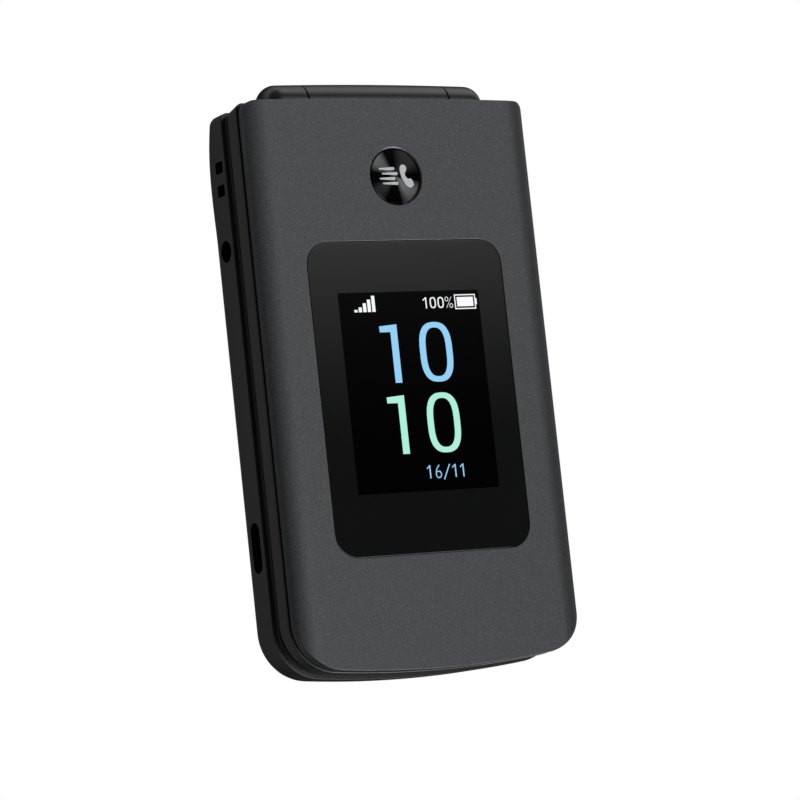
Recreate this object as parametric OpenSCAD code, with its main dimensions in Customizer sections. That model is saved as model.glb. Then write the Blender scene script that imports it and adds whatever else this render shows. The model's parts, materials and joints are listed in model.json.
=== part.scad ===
// Clamshell phone, lying closed on its back.
// +X is to the right seen from the lid, +Y runs to the hinge, +Z comes out of the lid.
// The origin is under the middle of the phone, on the plane that it lies on.

/* [Body] */
// Width of base and lid
body_w = 59; // [56:0.1:64]
// Hinge axis to the free end of the base
base_l = 103.6; // [101:0.1:112]
// How much shorter the lid frame is at the free end
lid_short = 0.65; // [0:0.05:2]
// Rear face to the hinge axis, which lies in the parting plane
base_t = 10; // [9.9:0.1:12]
// Hinge axis to the face of the lid
lid_t = 7.8; // [7.7:0.1:9]
// Radius of the free end's corners in plan
corner_r = 9.2; // [7:0.1:12]
// Radius of the hinge end's corners in plan
hinge_corner_r = 1.5; // [1.2:0.1:4]
// How far the free end bows out
end_bow = 1; // [0.4:0.1:2]
// Gap between the closed halves
parting_gap = 0.3; // [0.2:0.05:0.6]
// How far the two dark inner housings stand back from the sides
band_inset = 0.6; // [0.3:0.1:1.2]
// Height of each dark inner housing at the sides
band_h = 1.25; // [1.1:0.05:1.6]
// Wall of the housings
wall = 1.5; // [1.2:0.1:1.8]

/* [Lid cover] */
// Thickness of the grey cover
cover_t = 1.2; // [1:0.1:1.5]
// Width of the cover's rolled long edges
roll_w = 4.6; // [3:0.1:7]
// Drop of the rolled edges at the sides
roll_drop = 2.5; // [2:0.1:2.8]
// Chamfer on the cover's hinge end
cover_chamfer = 0.25; // [0.1:0.05:0.6]
// Radius of the cover's corners at the hinge end
cover_corner_r = 2.2; // [1.2:0.1:4]
// How far the cover laps over the frame's hinge end
cover_lap = 0.15; // [0.1:0.05:0.3]
// How far the cover's edge stands in from the lid frame's side
cover_in = 0.25; // [0.15:0.05:0.5]
// Step from the cover's edge in to its skirt
skirt_in = 0.45; // [0.3:0.05:0.6]
// Wall of the rim that stands round the cover
rim_wall = 0.2; // [0.16:0.02:0.4]
// How far the rim's top lies below the cover's edge
rim_drop = 0.65; // [0.2:0.05:0.8]
// Depth of the groove between the rim and the cover
groove_depth = 0.7; // [0.3:0.05:0.9]

/* [Outer window] */
// Side of the phone to the outer window
window_side = 9.5; // [8:0.1:11]
// Free end of the lid to the outer window
window_end = 20.65; // [19:0.05:26]
// Corner radius of the outer window
window_r = 4.4; // [2:0.1:8]
// Thickness of the outer window
window_t = 0.8; // [0.6:0.05:0.9]
// Hinge axis to the near end of the outer window
window_from_hinge = 25.9; // [24:0.1:28]
// Side of the outer window to the display module
outer_lcd_side = 3.5; // [2.5:0.25:5]
// How much shorter the display module is than the outer window
outer_lcd_short = 13.4; // [8:0.5:16]
// Thickness of the outer display module
outer_lcd_t = 1.7; // [1.4:0.1:1.8]

/* [Round key] */
// Radius of the round key
quick_r = 5.08; // [4:0.02:6]
// Chamfer round the key's hole in the cover
quick_chamfer = 0.4; // [0.2:0.05:0.6]
// Hinge axis to the centre of the round key
quick_from_hinge = 14.15; // [12:0.05:16]
// How far the round key's face lies below the cover
quick_sink = 0.2; // [0:0.05:0.4]

/* [Hinge] */
// Radius of the hinge barrel
hinge_r = 4.3; // [4.2:0.1:4.6]
// Side of the phone to the ends of the barrel, as a mean of both sides
barrel_side = 6.65; // [4.5:0.05:7.5]
// Middle of the barrel, to the right of the phone's middle
hinge_x = 0.55; // [0:0.05:1]
// How much thinner the barrel is at its ends than at its middle
barrel_crown = 0.3; // [0:0.05:0.4]
// Rounding of the barrel's two ends
barrel_end_r = 3.2; // [2:0.1:3.8]
// Length of each of the base's two knuckles
knuckle_l = 8.25; // [7.5:0.05:9.5]
// Gap in each seam
seam_gap = 0.2; // [0.1:0.05:0.4]
// Gap between the barrel and the housing ends that it turns in
barrel_gap = 0.25; // [0.2:0.05:0.4]
// Radius of the sprung hinge cartridge
cartridge_r = 2.85; // [2.5:0.05:3]
// Radius of the cam shaft in the cartridge
cam_shaft_r = 1.5; // [1:0.1:1.8]
// Outer radius of the hollow pivot
pivot_r = 2.6; // [2.2:0.1:2.8]
// Wall of the hollow pivot
pivot_wall = 0.8; // [0.6:0.1:1]

/* [Main display] */
// Side of the phone to the inner lens
lens_side = 4; // [3.5:0.25:6]
// Free end of the lid to the inner lens
lens_end = 11.35; // [10.8:0.05:14]
// Thickness of the inner lens
lens_t = 0.7; // [0.6:0.05:0.8]
// Hinge axis to the near end of the inner lens
lens_from_hinge = 17.6; // [16:0.1:19]
// Side of the inner lens to the main display module
main_lcd_side = 1.5; // [1:0.25:3]
// End of the inner lens to the main display module
main_lcd_end = 4; // [3:0.25:6]
// Thickness of the main display module
main_lcd_t = 2.1; // [1.8:0.1:2.1]

/* [Base shell] */
// Rounding of the base's rear edges
rear_edge_r = 3.6; // [3:0.1:4.5]
// Distance from the hinge axis at which the rear face starts to curve up
rear_curve_from_hinge = 21.1; // [18:0.1:24]
// Radius of that curve
rear_curve_r = 60; // [55:1:90]
// Hinge axis to the hinge end of the base
base_end_gap = 0.55; // [0.4:0.05:1.4]
// Hinge axis to the lid frame's lower edge at the hinge end
lid_end_gap = 0.75; // [0.6:0.05:1.4]

/* [Keypad] */
// Bar between number keys across
key_bar_x = 1.1; // [0.9:0.1:2.4]
// Bar between rows of number keys
key_bar_y = 1.6; // [1.2:0.1:3]
// Side of the phone to the number keys
keys_side = 4.7; // [4.2:0.1:5.5]
// Free end of the base to the middle of the last row
keys_end = 17.9; // [16.5:0.1:19]
// Hinge axis to the first row of number keys
row_1_from_hinge = 47.9; // [47.5:0.1:48.5]
// Corner radius of a key
key_r = 1.6; // [0.8:0.1:2.4]
// Travel of the keys
key_travel = 0.3; // [0.2:0.05:0.3]
// Height of the key faces above the keypad field
key_proud = 0.4; // [0.2:0.05:0.5]
// Depth of the keypad field below the housing's face
field_depth = 0.6; // [0.5:0.05:0.65]
// Outer radius of the navigation ring
ring_r = 10.5; // [9:0.1:11]
// Radius of the centre key
ok_r = 5.4; // [4.5:0.1:6]
// Hinge axis to the centre of the navigation ring
nav_from_hinge = 21.6; // [21:0.1:22.5]

/* [Ports and side key] */
// Length of the USB-C opening
usb_l = 8.9; // [8.8:0.05:9.4]
// Height of the USB-C opening
usb_h = 3.1; // [3:0.05:3.4]
// Free end of the base to the centre of the USB-C opening
usb_from_end = 25.15; // [21:0.05:32]
// Height of the port centres above the rear face
port_z = 5.75; // [5.6:0.05:6]
// Radius of the headset socket's bore
jack_r = 1.8; // [1.75:0.01:1.85]
// Length of the headset socket's bore
jack_l = 12.5; // [11:0.1:13]
// Hinge axis to the headset socket
jack_from_hinge = 25.25; // [24.8:0.05:26]
// Length of the volume key
volume_l = 18; // [14:0.5:20]
// Height of the volume key
volume_h = 3; // [2.4:0.1:3.4]
// How far the volume key stands out
volume_proud = 0.4; // [0.3:0.05:0.8]
// Height of the volume key's middle above the rear face
volume_z = 6; // [5.9:0.05:6]
// Hinge axis to the middle of the volume key
volume_from_hinge = 27.7; // [26:0.1:30]
// Width of each strap hole
strap_w = 2; // [1.6:0.1:2.4]
// Height of each strap hole
strap_h = 2.65; // [2.2:0.05:2.8]
// Hinge axis to the strap post between the holes
strap_from_hinge = 12.2; // [11.9:0.1:13]
// Distance between the strap holes
strap_pitch = 4.2; // [3.6:0.05:4.6]

/* [Battery] */
// Side of the phone to the battery
battery_side = 9.5; // [9.5:0.25:12]
// Free end of the base to the battery
battery_end = 11; // [10.9:0.1:16]
// Thickness of the battery
battery_t = 3.8; // [3:0.1:3.8]
// Thickness of the battery cover
batt_cover_t = 1.2; // [1:0.05:1.2]
// Hinge axis to the hinge end of the battery cover
batt_cover_from_hinge = 34.4; // [34:0.1:35]

/* [Camera] */
// Radius of the camera window
cam_window_r = 4.4; // [3.8:0.1:4.8]
// Side of the camera module
cam_side = 8.4; // [7:0.1:9]
// Hinge axis to the camera
cam_from_hinge = 21.6; // [21:0.1:22]
// Radius of the flash window
flash_r = 1.6; // [1.2:0.1:2]
// Camera to flash
flash_gap = 8.6; // [8.2:0.1:10]

/* [Fits] */
// Gap round parts that are set into a housing
set_gap = 0.1; // [0.05:0.01:0.15]
// Gap round keys that move
key_gap = 0.15; // [0.12:0.01:0.2]
// Gap between flat parts that lie on each other
stack_gap = 0.05; // [0.02:0.01:0.08]
// Radial clearance of turning shafts
run_gap = 0.05; // [0.02:0.01:0.08]

/* [Hidden] */

eps = 0.01;
half_w = body_w / 2;
hinge_y = (base_l - hinge_r) / 2;
base_end = hinge_y - base_l;
lid_l = base_l - lid_short;
lid_end = hinge_y - lid_l;
axis_z = base_t;
face_z = base_t + lid_t;
bow_r = (pow(half_w - corner_r, 2) + pow(end_bow, 2)) / (2 * end_bow);

// heights in the lid, from the parting plane outwards
inner_face_z = axis_z + parting_gap / 2;
frame_low_z = inner_face_z + band_h + 0.1;
cover_edge_z = face_z - roll_drop;
rim_top_z = cover_edge_z - rim_drop;
// the cover sits just inside the rim, but always clear of the turning barrel
frame_top_z = max(rim_top_z - 0.1, axis_z + hinge_r + barrel_gap);
inner_plate_z = inner_face_z + band_h;
main_lcd_z = inner_plate_z + stack_gap;
lid_board_z = main_lcd_z + main_lcd_t + stack_gap;
lid_board_t = 0.7;
outer_lcd_z = lid_board_z + lid_board_t + stack_gap;
cover_in_z = face_z - cover_t;

// heights in the base, from the rear face up
floor_t = 1.3;
bay_floor_z = batt_cover_t + stack_gap;
bay_ledge_z = bay_floor_z + 0.85;
battery_z = bay_floor_z + stack_gap;
ceiling_z = battery_z + battery_t + stack_gap * 2;
board_z = base_t - 3.7;
board_t = 0.7;
dome_z = board_z + board_t + 0.02;
dome_t = 0.1;
dome_h = 0.23;
mat_z = dome_z + dome_t + 0.03;
front_face_z = axis_z - parting_gap / 2;
front_low_z = front_face_z - band_h;
shell_top_z = front_low_z;
field_z = front_face_z - field_depth;
flange_t = 0.3;
flange_w = 0.35;
flange_top_z = front_low_z - 0.03;
mat_top_z = flange_top_z - flange_t - key_travel - 0.05;
plunger_low_z = dome_z + dome_t + dome_h + key_travel + 0.02;

cover_half_w = half_w - cover_in;
window_w = body_w - 2 * window_side;
window_l = lid_l - window_from_hinge - window_end;
window_y = hinge_y - window_from_hinge - window_l / 2;
outer_lcd_w = window_w - 2 * outer_lcd_side;
outer_lcd_l = window_l - outer_lcd_short;
quick_y = hinge_y - quick_from_hinge;
lens_w = body_w - 2 * lens_side;
lens_l = lid_l - lens_from_hinge - lens_end;
lens_y = hinge_y - lens_from_hinge - lens_l / 2;
main_lcd_w = lens_w - 2 * main_lcd_side;
main_lcd_l = lens_l - 2 * main_lcd_end;
nav_y = hinge_y - nav_from_hinge;
row_1_y = hinge_y - row_1_from_hinge;
key_pitch_x = (body_w - 2 * keys_side + key_bar_x) / 3;
key_w = key_pitch_x - key_bar_x;
key_pitch_y = (base_l - row_1_from_hinge - keys_end) / 3;
key_h = key_pitch_y - key_bar_y;
usb_y = base_end + usb_from_end;
jack_y = hinge_y - jack_from_hinge;
volume_y = hinge_y - volume_from_hinge;
strap_y = hinge_y - strap_from_hinge;
strap_z = port_z + 0.5;
cam_y = hinge_y - cam_from_hinge;
batt_cover_y = hinge_y - batt_cover_from_hinge;
battery_w = body_w - 2 * battery_side;
battery_y = base_end + battery_end;
battery_l = batt_cover_y - 4.2 - battery_y;
rear_curve_y = hinge_y - rear_curve_from_hinge;
barrel_y = hinge_y - hinge_r - barrel_gap;
notch_l = 20;
barrel_half = half_w - barrel_side;
seam_left = barrel_half - knuckle_l;
seam_right = barrel_half - knuckle_l;

// places of the screws
lid_screw_places = [for (s = [-1, 1]) each [[s * (half_w - 6.3), lid_end + 7.5], [s * (half_w - 4.6), hinge_y - 9.2]]];
base_screw_low = [for (s = [-1, 1]) [s * (half_w - 8.6), base_end + 7.4]];
base_screw_high = [for (s = [-1, 1]) [s * (half_w - 8.1), hinge_y - 8.2]];
base_screw_places = concat(base_screw_low, base_screw_high);
screw_shank_r = 0.7;
screw_head_r = 1.2;
screw_head_t = 0.75;

// colours
grey_c = [0.29, 0.295, 0.3];
shell_c = [0.10, 0.105, 0.105];
band_c = [0.05, 0.052, 0.052];
glass_c = [0.02, 0.02, 0.022];
metal_c = [0.62, 0.63, 0.65];
board_c = [0.05, 0.25, 0.14];
rubber_c = [0.08, 0.08, 0.08];
copper_c = [0.72, 0.48, 0.2];
key_c = [0.13, 0.135, 0.14];

// ---------- flat shapes ----------

function rear_rise(y) =
    y <= rear_curve_y ? 0 : rear_curve_r - sqrt(pow(rear_curve_r, 2) - pow(y - rear_curve_y, 2));
function bow_centre(end_y) = end_y + bow_r;
function corner_y(end_y) = bow_centre(end_y) - sqrt(pow(bow_r - corner_r, 2) - pow(half_w - corner_r, 2));

module rounded(w, h, r) {
    square([w - 2 * r, h], center = true);
    square([w, h - 2 * r], center = true);
    for (x = [-1, 1], y = [-1, 1])
        translate([x * (w / 2 - r), y * (h / 2 - r)]) circle(r, $fn = 32);
}

// plan of base or lid, every edge moved in by inset
module outline(inset, end_y, top_y, tip_r = hinge_corner_r) {
    r = corner_r - inset;
    rt = max(tip_r - inset, 0.3);
    hw = half_w - inset;
    kx = half_w - corner_r;
    ky = corner_y(end_y);
    tx = kx * bow_r / (bow_r - corner_r);
    top = top_y - inset;
    translate([-hw, ky]) square([2 * hw, top - rt - ky]);
    translate([-hw + rt, ky]) square([2 * (hw - rt), top - ky]);
    for (s = [-1, 1]) {
        translate([s * kx, ky]) circle(r, $fn = 64);
        translate([s * (hw - rt), top - rt]) circle(rt, $fn = 32);
    }
    intersection() {
        translate([0, bow_centre(end_y)]) circle(bow_r - inset, $fn = 360);
        translate([-tx, end_y]) square([2 * tx, ky - end_y + eps]);
    }
}

module slab(z0, z1) translate([0, 0, z0]) linear_extrude(z1 - z0) children();

module along_x(x0, x1, r, sides = 48)
    translate([x0, 0, 0]) rotate([0, 90, 0]) cylinder(h = x1 - x0, r = r, $fn = sides);

module on_axis() translate([hinge_x, hinge_y, axis_z]) children();

// ---------- lid ----------

// cross-section of the cover: its long edges roll off as quarter ellipses
module roll_section(inset) {
    low = frame_top_z - 1;
    x0 = cover_half_w - roll_w;
    z0 = cover_edge_z;
    a = roll_w - inset;
    b = roll_drop - inset;
    steps = 16;
    right = [for (i = [0:steps]) [x0 + a * sin(90 * i / steps), z0 + b * cos(90 * i / steps)]];
    left = [for (i = [steps:-1:0]) [-right[i][0], right[i][1]]];
    polygon(concat(right, [[x0 + a, low], [-x0 - a, low]], left));
}

module rolled(inset) {
    translate([0, hinge_y + 1, 0]) rotate([90, 0, 0]) linear_extrude(lid_l + 2) roll_section(inset);
}

module lid_cover() {
    skirt = cover_in + skirt_in;
    corner = cover_corner_r + cover_in;
    color(grey_c) difference() {
        union() {
            intersection() {
                rolled(0);
                slab(cover_edge_z - 0.1, face_z + 1)
                    outline(cover_in, lid_end, hinge_y + cover_lap + cover_in, corner);
            }
            slab(frame_top_z + stack_gap, cover_edge_z + 0.2)
                outline(skirt, lid_end, hinge_y + cover_lap - 0.1 + skirt, corner);
        }
        intersection() {
            rolled(cover_t);
            slab(frame_top_z - 1, cover_in_z)
                outline(cover_in + cover_t, lid_end, hinge_y + cover_in - 0.2);
        }
        // seat of the window, and the opening for the display under it
        translate([0, window_y, 0]) {
            slab(face_z - window_t - stack_gap, face_z + 1)
                rounded(window_w + 2 * set_gap, window_l + 2 * set_gap, window_r + set_gap);
            slab(cover_in_z - 1, face_z) rounded(outer_lcd_w + 1.2, outer_lcd_l + 4, 1.5);
        }
        // hole of the round key with its bright chamfer
        translate([0, quick_y, 0]) {
            slab(cover_in_z - 1, face_z + 1) circle(quick_r + key_gap, $fn = 96);
            translate([0, 0, face_z - quick_chamfer])
                cylinder(h = quick_chamfer + eps, r1 = quick_r + key_gap,
                    r2 = quick_r + key_gap + quick_chamfer + eps, $fn = 96);
        }
        // chamfer of the hinge end
        translate([0, hinge_y + cover_lap, face_z - cover_chamfer]) rotate([45, 0, 0])
            translate([-half_w, 0, 0]) cube([body_w, 2, 2]);
    }
}

module lid_frame() {
    cavity_in = wall + 0.4;
    end_slope = atan((lid_end_gap - 0.1) / (rim_top_z - frame_low_z));
    color(shell_c) difference() {
        union() {
            difference() {
                slab(frame_low_z, rim_top_z) outline(0, lid_end, hinge_y);
                slab(frame_top_z, rim_top_z + 1) outline(rim_wall, lid_end, hinge_y + rim_wall + 0.2);
                // groove between the rim and the cover's skirt
                slab(rim_top_z - groove_depth, rim_top_z + 1) difference() {
                    outline(rim_wall, lid_end, hinge_y + rim_wall + 0.2);
                    outline(cover_in + skirt_in, lid_end, hinge_y + cover_in + skirt_in + 0.3,
                        cover_corner_r + cover_in);
                }
                slab(frame_low_z - 1, frame_top_z + 1)
                    outline(cavity_in, lid_end, barrel_y - 1.2 + cavity_in);
            }
            // four bosses for the lid screws, each tied to the side wall
            for (p = lid_screw_places) {
                slab(frame_low_z + 0.75, lid_boss_top_z) translate(p) circle(1.9, $fn = 32);
                slab(frame_low_z + 0.75, frame_top_z) translate([p[0] > 0 ? p[0] : -half_w + 1, p[1] - 0.6])
                    square([half_w - 1 - abs(p[0]), 1.2]);
            }
            on_axis() knuckle(-seam_left + seam_gap / 2, seam_right - seam_gap / 2);
        }
        // the hinge end slopes in towards its lower edge
        translate([0, hinge_y - lid_end_gap, frame_low_z - eps]) rotate([-end_slope, 0, 0])
            for (s = [-1, 1]) {
                near = barrel_half + s * hinge_x + 0.15;
                translate([s < 0 ? -half_w - 1 : near, 0, -1])
                    cube([half_w + 1 - near, 3, rim_top_z - frame_low_z + 2]);
            }
        // room for the base's two knuckles
        on_axis() {
            along_x(-barrel_half - 0.2, -seam_left + seam_gap / 2, hinge_r + barrel_gap);
            along_x(seam_right - seam_gap / 2, barrel_half + 0.2, hinge_r + barrel_gap);
        }
        for (p = lid_screw_places)
            slab(frame_low_z, lid_boss_top_z - 0.6) translate(p) circle(screw_shank_r + 0.02, $fn = 24);
        // inside of the lid's knuckle: cam socket, room for the flex, seat of the pivot
        on_axis() {
            along_x(-seam_left - 1, cam_head_in + set_gap, cam_head_r + set_gap, 6);
            along_x(cam_head_in, pivot_in, flex_room_r);
            along_x(pivot_in - eps, seam_right + 1, pivot_r + 0.01);
        }
        // slot that lets the flex through into the lid
        translate([flex_x - flex_w / 2 - 0.5, barrel_y - 2.5, axis_z + flex_tongue_up - 0.3])
            cube([flex_w + 1, hinge_r + 2.5, 0.8]);
    }
}
lid_boss_top_z = cover_in_z - 1.2;

module outer_window()
    color(glass_c) translate([0, window_y, 0])
        slab(face_z - window_t, face_z) rounded(window_w, window_l, window_r);

outer_lcd_y = window_y + 0.9;
module outer_display() {
    color(glass_c) translate([0, outer_lcd_y, 0]) {
        slab(outer_lcd_z, outer_lcd_z + outer_lcd_t) rounded(outer_lcd_w, outer_lcd_l, 0.6);
        // glass of the cell on the module's frame
        slab(outer_lcd_z + outer_lcd_t - eps, face_z - window_t - stack_gap * 2)
            rounded(outer_lcd_w - 1.6, outer_lcd_l - 3, 0.4);
    }
}

quick_flange_z = cover_in_z - 0.35;
quick_switch_h = 0.75;
module quick_call_key() {
    color(metal_c) translate([0, quick_y, 0]) {
        slab(quick_flange_z, face_z - quick_sink) circle(quick_r, $fn = 96);
        slab(quick_flange_z, cover_in_z - 0.05) circle(quick_r + 0.7, $fn = 64);
        slab(lid_board_z + lid_board_t + quick_switch_h + key_travel + 0.1, quick_flange_z + eps)
            circle(1.3, $fn = 32);
    }
}

module quick_key_switch()
    color(metal_c) translate([0, quick_y, lid_board_z + lid_board_t + 0.02]) {
        slab(0, 0.45) rounded(4.2, 4.2, 0.4);
        translate([0, 0, 0.45 - eps]) cylinder(h = quick_switch_h - 0.47, r1 = 1.5, r2 = 1, $fn = 32);
    }

lid_board_w = body_w - 15;
board_hole_in = 4;
module lid_board() {
    y0 = lid_end + 17;
    y1 = hinge_y - 8.6;
    hole_x = lid_board_w / 2 - board_hole_in;
    color(board_c) difference() {
        slab(lid_board_z, lid_board_z + lid_board_t)
            translate([0, (y0 + y1) / 2]) rounded(lid_board_w, y1 - y0, 2);
        for (y = [y0 + board_hole_in, y1 - board_hole_in], x = [-hole_x, hole_x])
            slab(lid_board_z - 1, lid_board_z + 2) translate([x, y]) circle(1, $fn = 24);
    }
}

module lid_inner_housing() {
    lip_in = wall + 0.4 + set_gap;
    end_y = barrel_y + 0.02;
    color(band_c) difference() {
        union() {
            slab(inner_face_z, inner_plate_z) outline(band_inset, lid_end, hinge_y - lid_end_gap);
            difference() {
                slab(inner_plate_z - eps, inner_plate_z + 1.2)
                    outline(lip_in, lid_end, barrel_y - 1.4 + lip_in);
                slab(inner_plate_z - 1, inner_plate_z + 2)
                    outline(lip_in + 0.9, lid_end, barrel_y - 1.4 + lip_in);
                for (p = lid_screw_places)
                    translate([p[0], p[1], inner_plate_z + 0.7]) cylinder(h = 2, r = 2.8, $fn = 32);
            }
            for (p = lid_screw_places)
                slab(inner_plate_z - eps, frame_low_z + 0.7) translate(p) circle(2.4, $fn = 32);
        }
        // the hinge barrel stands in this notch
        slab(inner_face_z - 1, inner_plate_z + 2)
            translate([hinge_x - barrel_half - 0.25, end_y]) square([2 * barrel_half + 0.5, notch_l]);
        // seat and opening of the inner lens
        translate([0, lens_y, 0]) {
            slab(inner_face_z - 1, inner_face_z + lens_t + stack_gap)
                rounded(lens_w + 2 * set_gap, lens_l + 2 * set_gap, 3);
            slab(inner_face_z - 1, inner_plate_z + 1) rounded(lens_w - 5, lens_l - 10, 1.5);
        }
        // way for the flex
        slab(inner_plate_z, inner_plate_z + 2) translate([flex_x - flex_w / 2 - 0.5, barrel_y - 3])
            square([flex_w + 1, 4]);
        // slot of the earpiece
        slab(inner_face_z - 1, inner_plate_z + 1) translate([0, earpiece_y])
            rounded(earpiece_slot_w + 2 * set_gap, 1.6 + 2 * set_gap, 0.85);
        // screw seats with a pocket for the bumper over each
        for (p = lid_screw_places) {
            slab(inner_face_z - 1, inner_face_z + bumper_t) translate(p)
                circle(bumper_r + set_gap, $fn = 32);
            slab(inner_face_z, inner_face_z + bumper_t + screw_head_t + 0.1) translate(p)
                circle(screw_head_r + set_gap, $fn = 32);
            slab(inner_face_z, frame_low_z + 2) translate(p) circle(screw_shank_r + 0.1, $fn = 24);
        }
    }
}
bumper_r = 2;
bumper_t = 0.55;
earpiece_slot_w = 9;
earpiece_y = lid_end + 6.2;

module inner_lens()
    color(glass_c) translate([0, lens_y, 0])
        slab(inner_face_z, inner_face_z + lens_t) rounded(lens_w, lens_l, 3 - set_gap);

module main_display()
    color(glass_c) translate([0, lens_y, 0])
        slab(main_lcd_z, main_lcd_z + main_lcd_t) rounded(main_lcd_w, main_lcd_l, 1);

module earpiece()
    color(metal_c) translate([0, earpiece_y, 0]) {
        slab(inner_plate_z + 0.02, inner_plate_z + 1.8) rounded(12, 5, 1.5);
        slab(inner_plate_z + 1.75, inner_plate_z + 2.1) rounded(9, 3, 1);
    }

module earpiece_mesh()
    color(band_c) translate([0, earpiece_y, 0]) difference() {
        slab(inner_face_z + 0.25, inner_face_z + 0.5) rounded(earpiece_slot_w, 1.6, 0.79);
        for (i = [-9:9], j = [0, 1])
            translate([(i + j / 2) * 0.45, (j - 0.5) * 0.5, inner_face_z])
                cylinder(h = 1, r = 0.12, $fn = 8);
    }

module lid_magnet()
    color(metal_c) translate([12, earpiece_y + 0.2, inner_plate_z + 0.02]) slab(0, 1.6) rounded(7, 3, 0.3);

module lid_bumpers()
    for (p = lid_screw_places)
        color(rubber_c) slab(inner_face_z - 0.1, inner_face_z + bumper_t - 0.03)
            translate(p) circle(bumper_r, $fn = 32);

module screw(z0, z1, up) {
    head_z = up ? z0 : z1 - screw_head_t;
    difference() {
        union() {
            slab(head_z, head_z + screw_head_t) circle(screw_head_r, $fn = 32);
            slab(z0, z1) circle(screw_shank_r, $fn = 24);
        }
        // cross recess
        slab(head_z - 1, head_z + 0.4) for (a = [0, 90]) rotate(a) square([1.3, 0.32], center = true);
    }
}

module lid_screws()
    for (p = lid_screw_places)
        color(metal_c) translate(p) screw(inner_face_z + bumper_t + 0.03, lid_boss_top_z - 0.8, true);

// ---------- hinge ----------

cam_head_r = 2.4;
cam_head_in = -seam_left + 4.1;
flex_room_r = 3.2;
pivot_in = seam_right - 5.1;
flex_mid = (cam_head_in + pivot_in) / 2;
flex_x = hinge_x + flex_mid;
flex_w = 12;
flex_tongue_up = 2;
flex_reach = 14;

module hinge_flex() {
    board_y = hinge_y - flex_reach;
    color(copper_c) {
        on_axis() difference() {
            along_x(flex_mid - flex_w / 2, flex_mid + flex_w / 2, flex_room_r - 0.35);
            along_x(flex_mid - flex_w, flex_mid + flex_w, flex_room_r - 0.8);
        }
        translate([flex_x - flex_w / 2, board_y, axis_z + flex_tongue_up])
            cube([flex_w, hinge_y - board_y - 1.6, 0.15]);
        translate([flex_x - flex_w / 2, board_y, axis_z + flex_tongue_up + 0.1])
            cube([flex_w, 3, lid_board_z - axis_z - flex_tongue_up - 0.12]);
    }
}

cartridge_out = -barrel_half + 1.4;
cam_shaft_out = cartridge_out + 2.6;
key_flat = 0.45;
module hinge_cartridge()
    color(metal_c) on_axis() difference() {
        along_x(cartridge_out, -seam_left - seam_gap / 2 - 0.1, cartridge_r);
        along_x(cam_shaft_out - 0.1, -seam_left + 1, cam_shaft_r + run_gap);
        // flat that keys the cartridge in the knuckle
        translate([cartridge_out - 1, -cartridge_r, -cartridge_r - 1])
            cube([3.4, 2 * cartridge_r, 1 + key_flat]);
    }

module hinge_cam()
    color(metal_c) on_axis() {
        along_x(cam_shaft_out, -seam_left + seam_gap, cam_shaft_r);
        along_x(-seam_left + seam_gap / 2 + 0.05, cam_head_in, cam_head_r, 6);
    }

module hinge_pivot()
    color(metal_c) on_axis() difference() {
        along_x(pivot_in + 0.05, barrel_half - 2.3, pivot_r);
        along_x(pivot_in - 1, barrel_half, pivot_r - pivot_wall);
    }

// the barrel is crowned, so it is thickest at its middle
function barrel_r(x) = hinge_r - barrel_crown * pow(x / barrel_half, 2);

module knuckle(x0, x1) {
    steps = 8;
    rotate([0, 90, 0]) rotate_extrude($fn = 72) polygon(concat([[0, x0]],
        [for (i = [0:steps]) let (x = x0 + (x1 - x0) * i / steps) [barrel_r(x), x]], [[0, x1]]));
}

// end knuckle of the base: round at its outer end, flat at the seam
module end_knuckle(side, seam) {
    round_x = barrel_half - barrel_end_r;
    steps = 8;
    on_axis() rotate([0, side * 90, 0]) rotate_extrude($fn = 72) polygon(concat([[0, seam]],
        [for (i = [0:1]) let (x = seam + (round_x - seam) * i / 2) [barrel_r(x), x]],
        [for (i = [0:steps]) let (a = 90 * i / steps, x = round_x + barrel_end_r * sin(a))
            [barrel_r(x) - barrel_end_r * (1 - cos(a)), x]],
        [[0, barrel_half]]));
}

// ---------- base shell ----------

// rounded outer form of the base: upright posts with round lower ends, joined to one skin
module base_skin() {
    kx = half_w - corner_r;
    ky = corner_y(base_end);
    top = hinge_y - base_end_gap;
    bow_in = bow_r - rear_edge_r;
    curve_l = top - hinge_corner_r - rear_curve_y;
    // the spheres near the hinge end would rise above the shell's upper edge
    intersection() {
        slab(-1, shell_top_z) square(300, center = true);
        hull() {
            for (s = [-1, 1]) {
                translate([s * kx, ky, rear_edge_r]) {
                    rotate_extrude($fn = 96) translate([corner_r - rear_edge_r, 0])
                        intersection() {
                            circle(rear_edge_r, $fn = 32);
                            translate([0, -rear_edge_r]) square(rear_edge_r);
                        }
                    cylinder(h = shell_top_z - rear_edge_r, r = corner_r, $fn = 96);
                }
                for (i = [0:4]) {
                    y = rear_curve_y + curve_l * i / 5;
                    translate([s * (half_w - rear_edge_r), y, rear_rise(y) + rear_edge_r]) {
                        sphere(rear_edge_r, $fn = 32);
                        cylinder(h = shell_top_z - rear_rise(y) - rear_edge_r, r = rear_edge_r, $fn = 32);
                    }
                }
                y_end = rear_curve_y + curve_l;
                translate([s * (half_w - hinge_corner_r), y_end, rear_rise(y_end) + hinge_corner_r]) {
                    sphere(hinge_corner_r, $fn = 32);
                    cylinder(h = shell_top_z - rear_rise(y_end) - hinge_corner_r, r = hinge_corner_r, $fn = 32);
                }
            }
            for (i = [-3:3]) {
                a = i / 3 * asin(kx / (bow_r - corner_r)) * 0.8;
                translate([bow_in * sin(a), bow_centre(base_end) - bow_in * cos(a), rear_edge_r]) {
                    sphere(rear_edge_r, $fn = 32);
                    cylinder(h = shell_top_z - rear_edge_r, r = rear_edge_r, $fn = 32);
                }
            }
        }
    }
}

module usb_slot(l, h, depth)
    translate([-half_w - 1, usb_y, port_z]) rotate([90, 0, 90])
        linear_extrude(depth + 1) rounded(l, h, h / 2 - 0.01);

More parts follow.
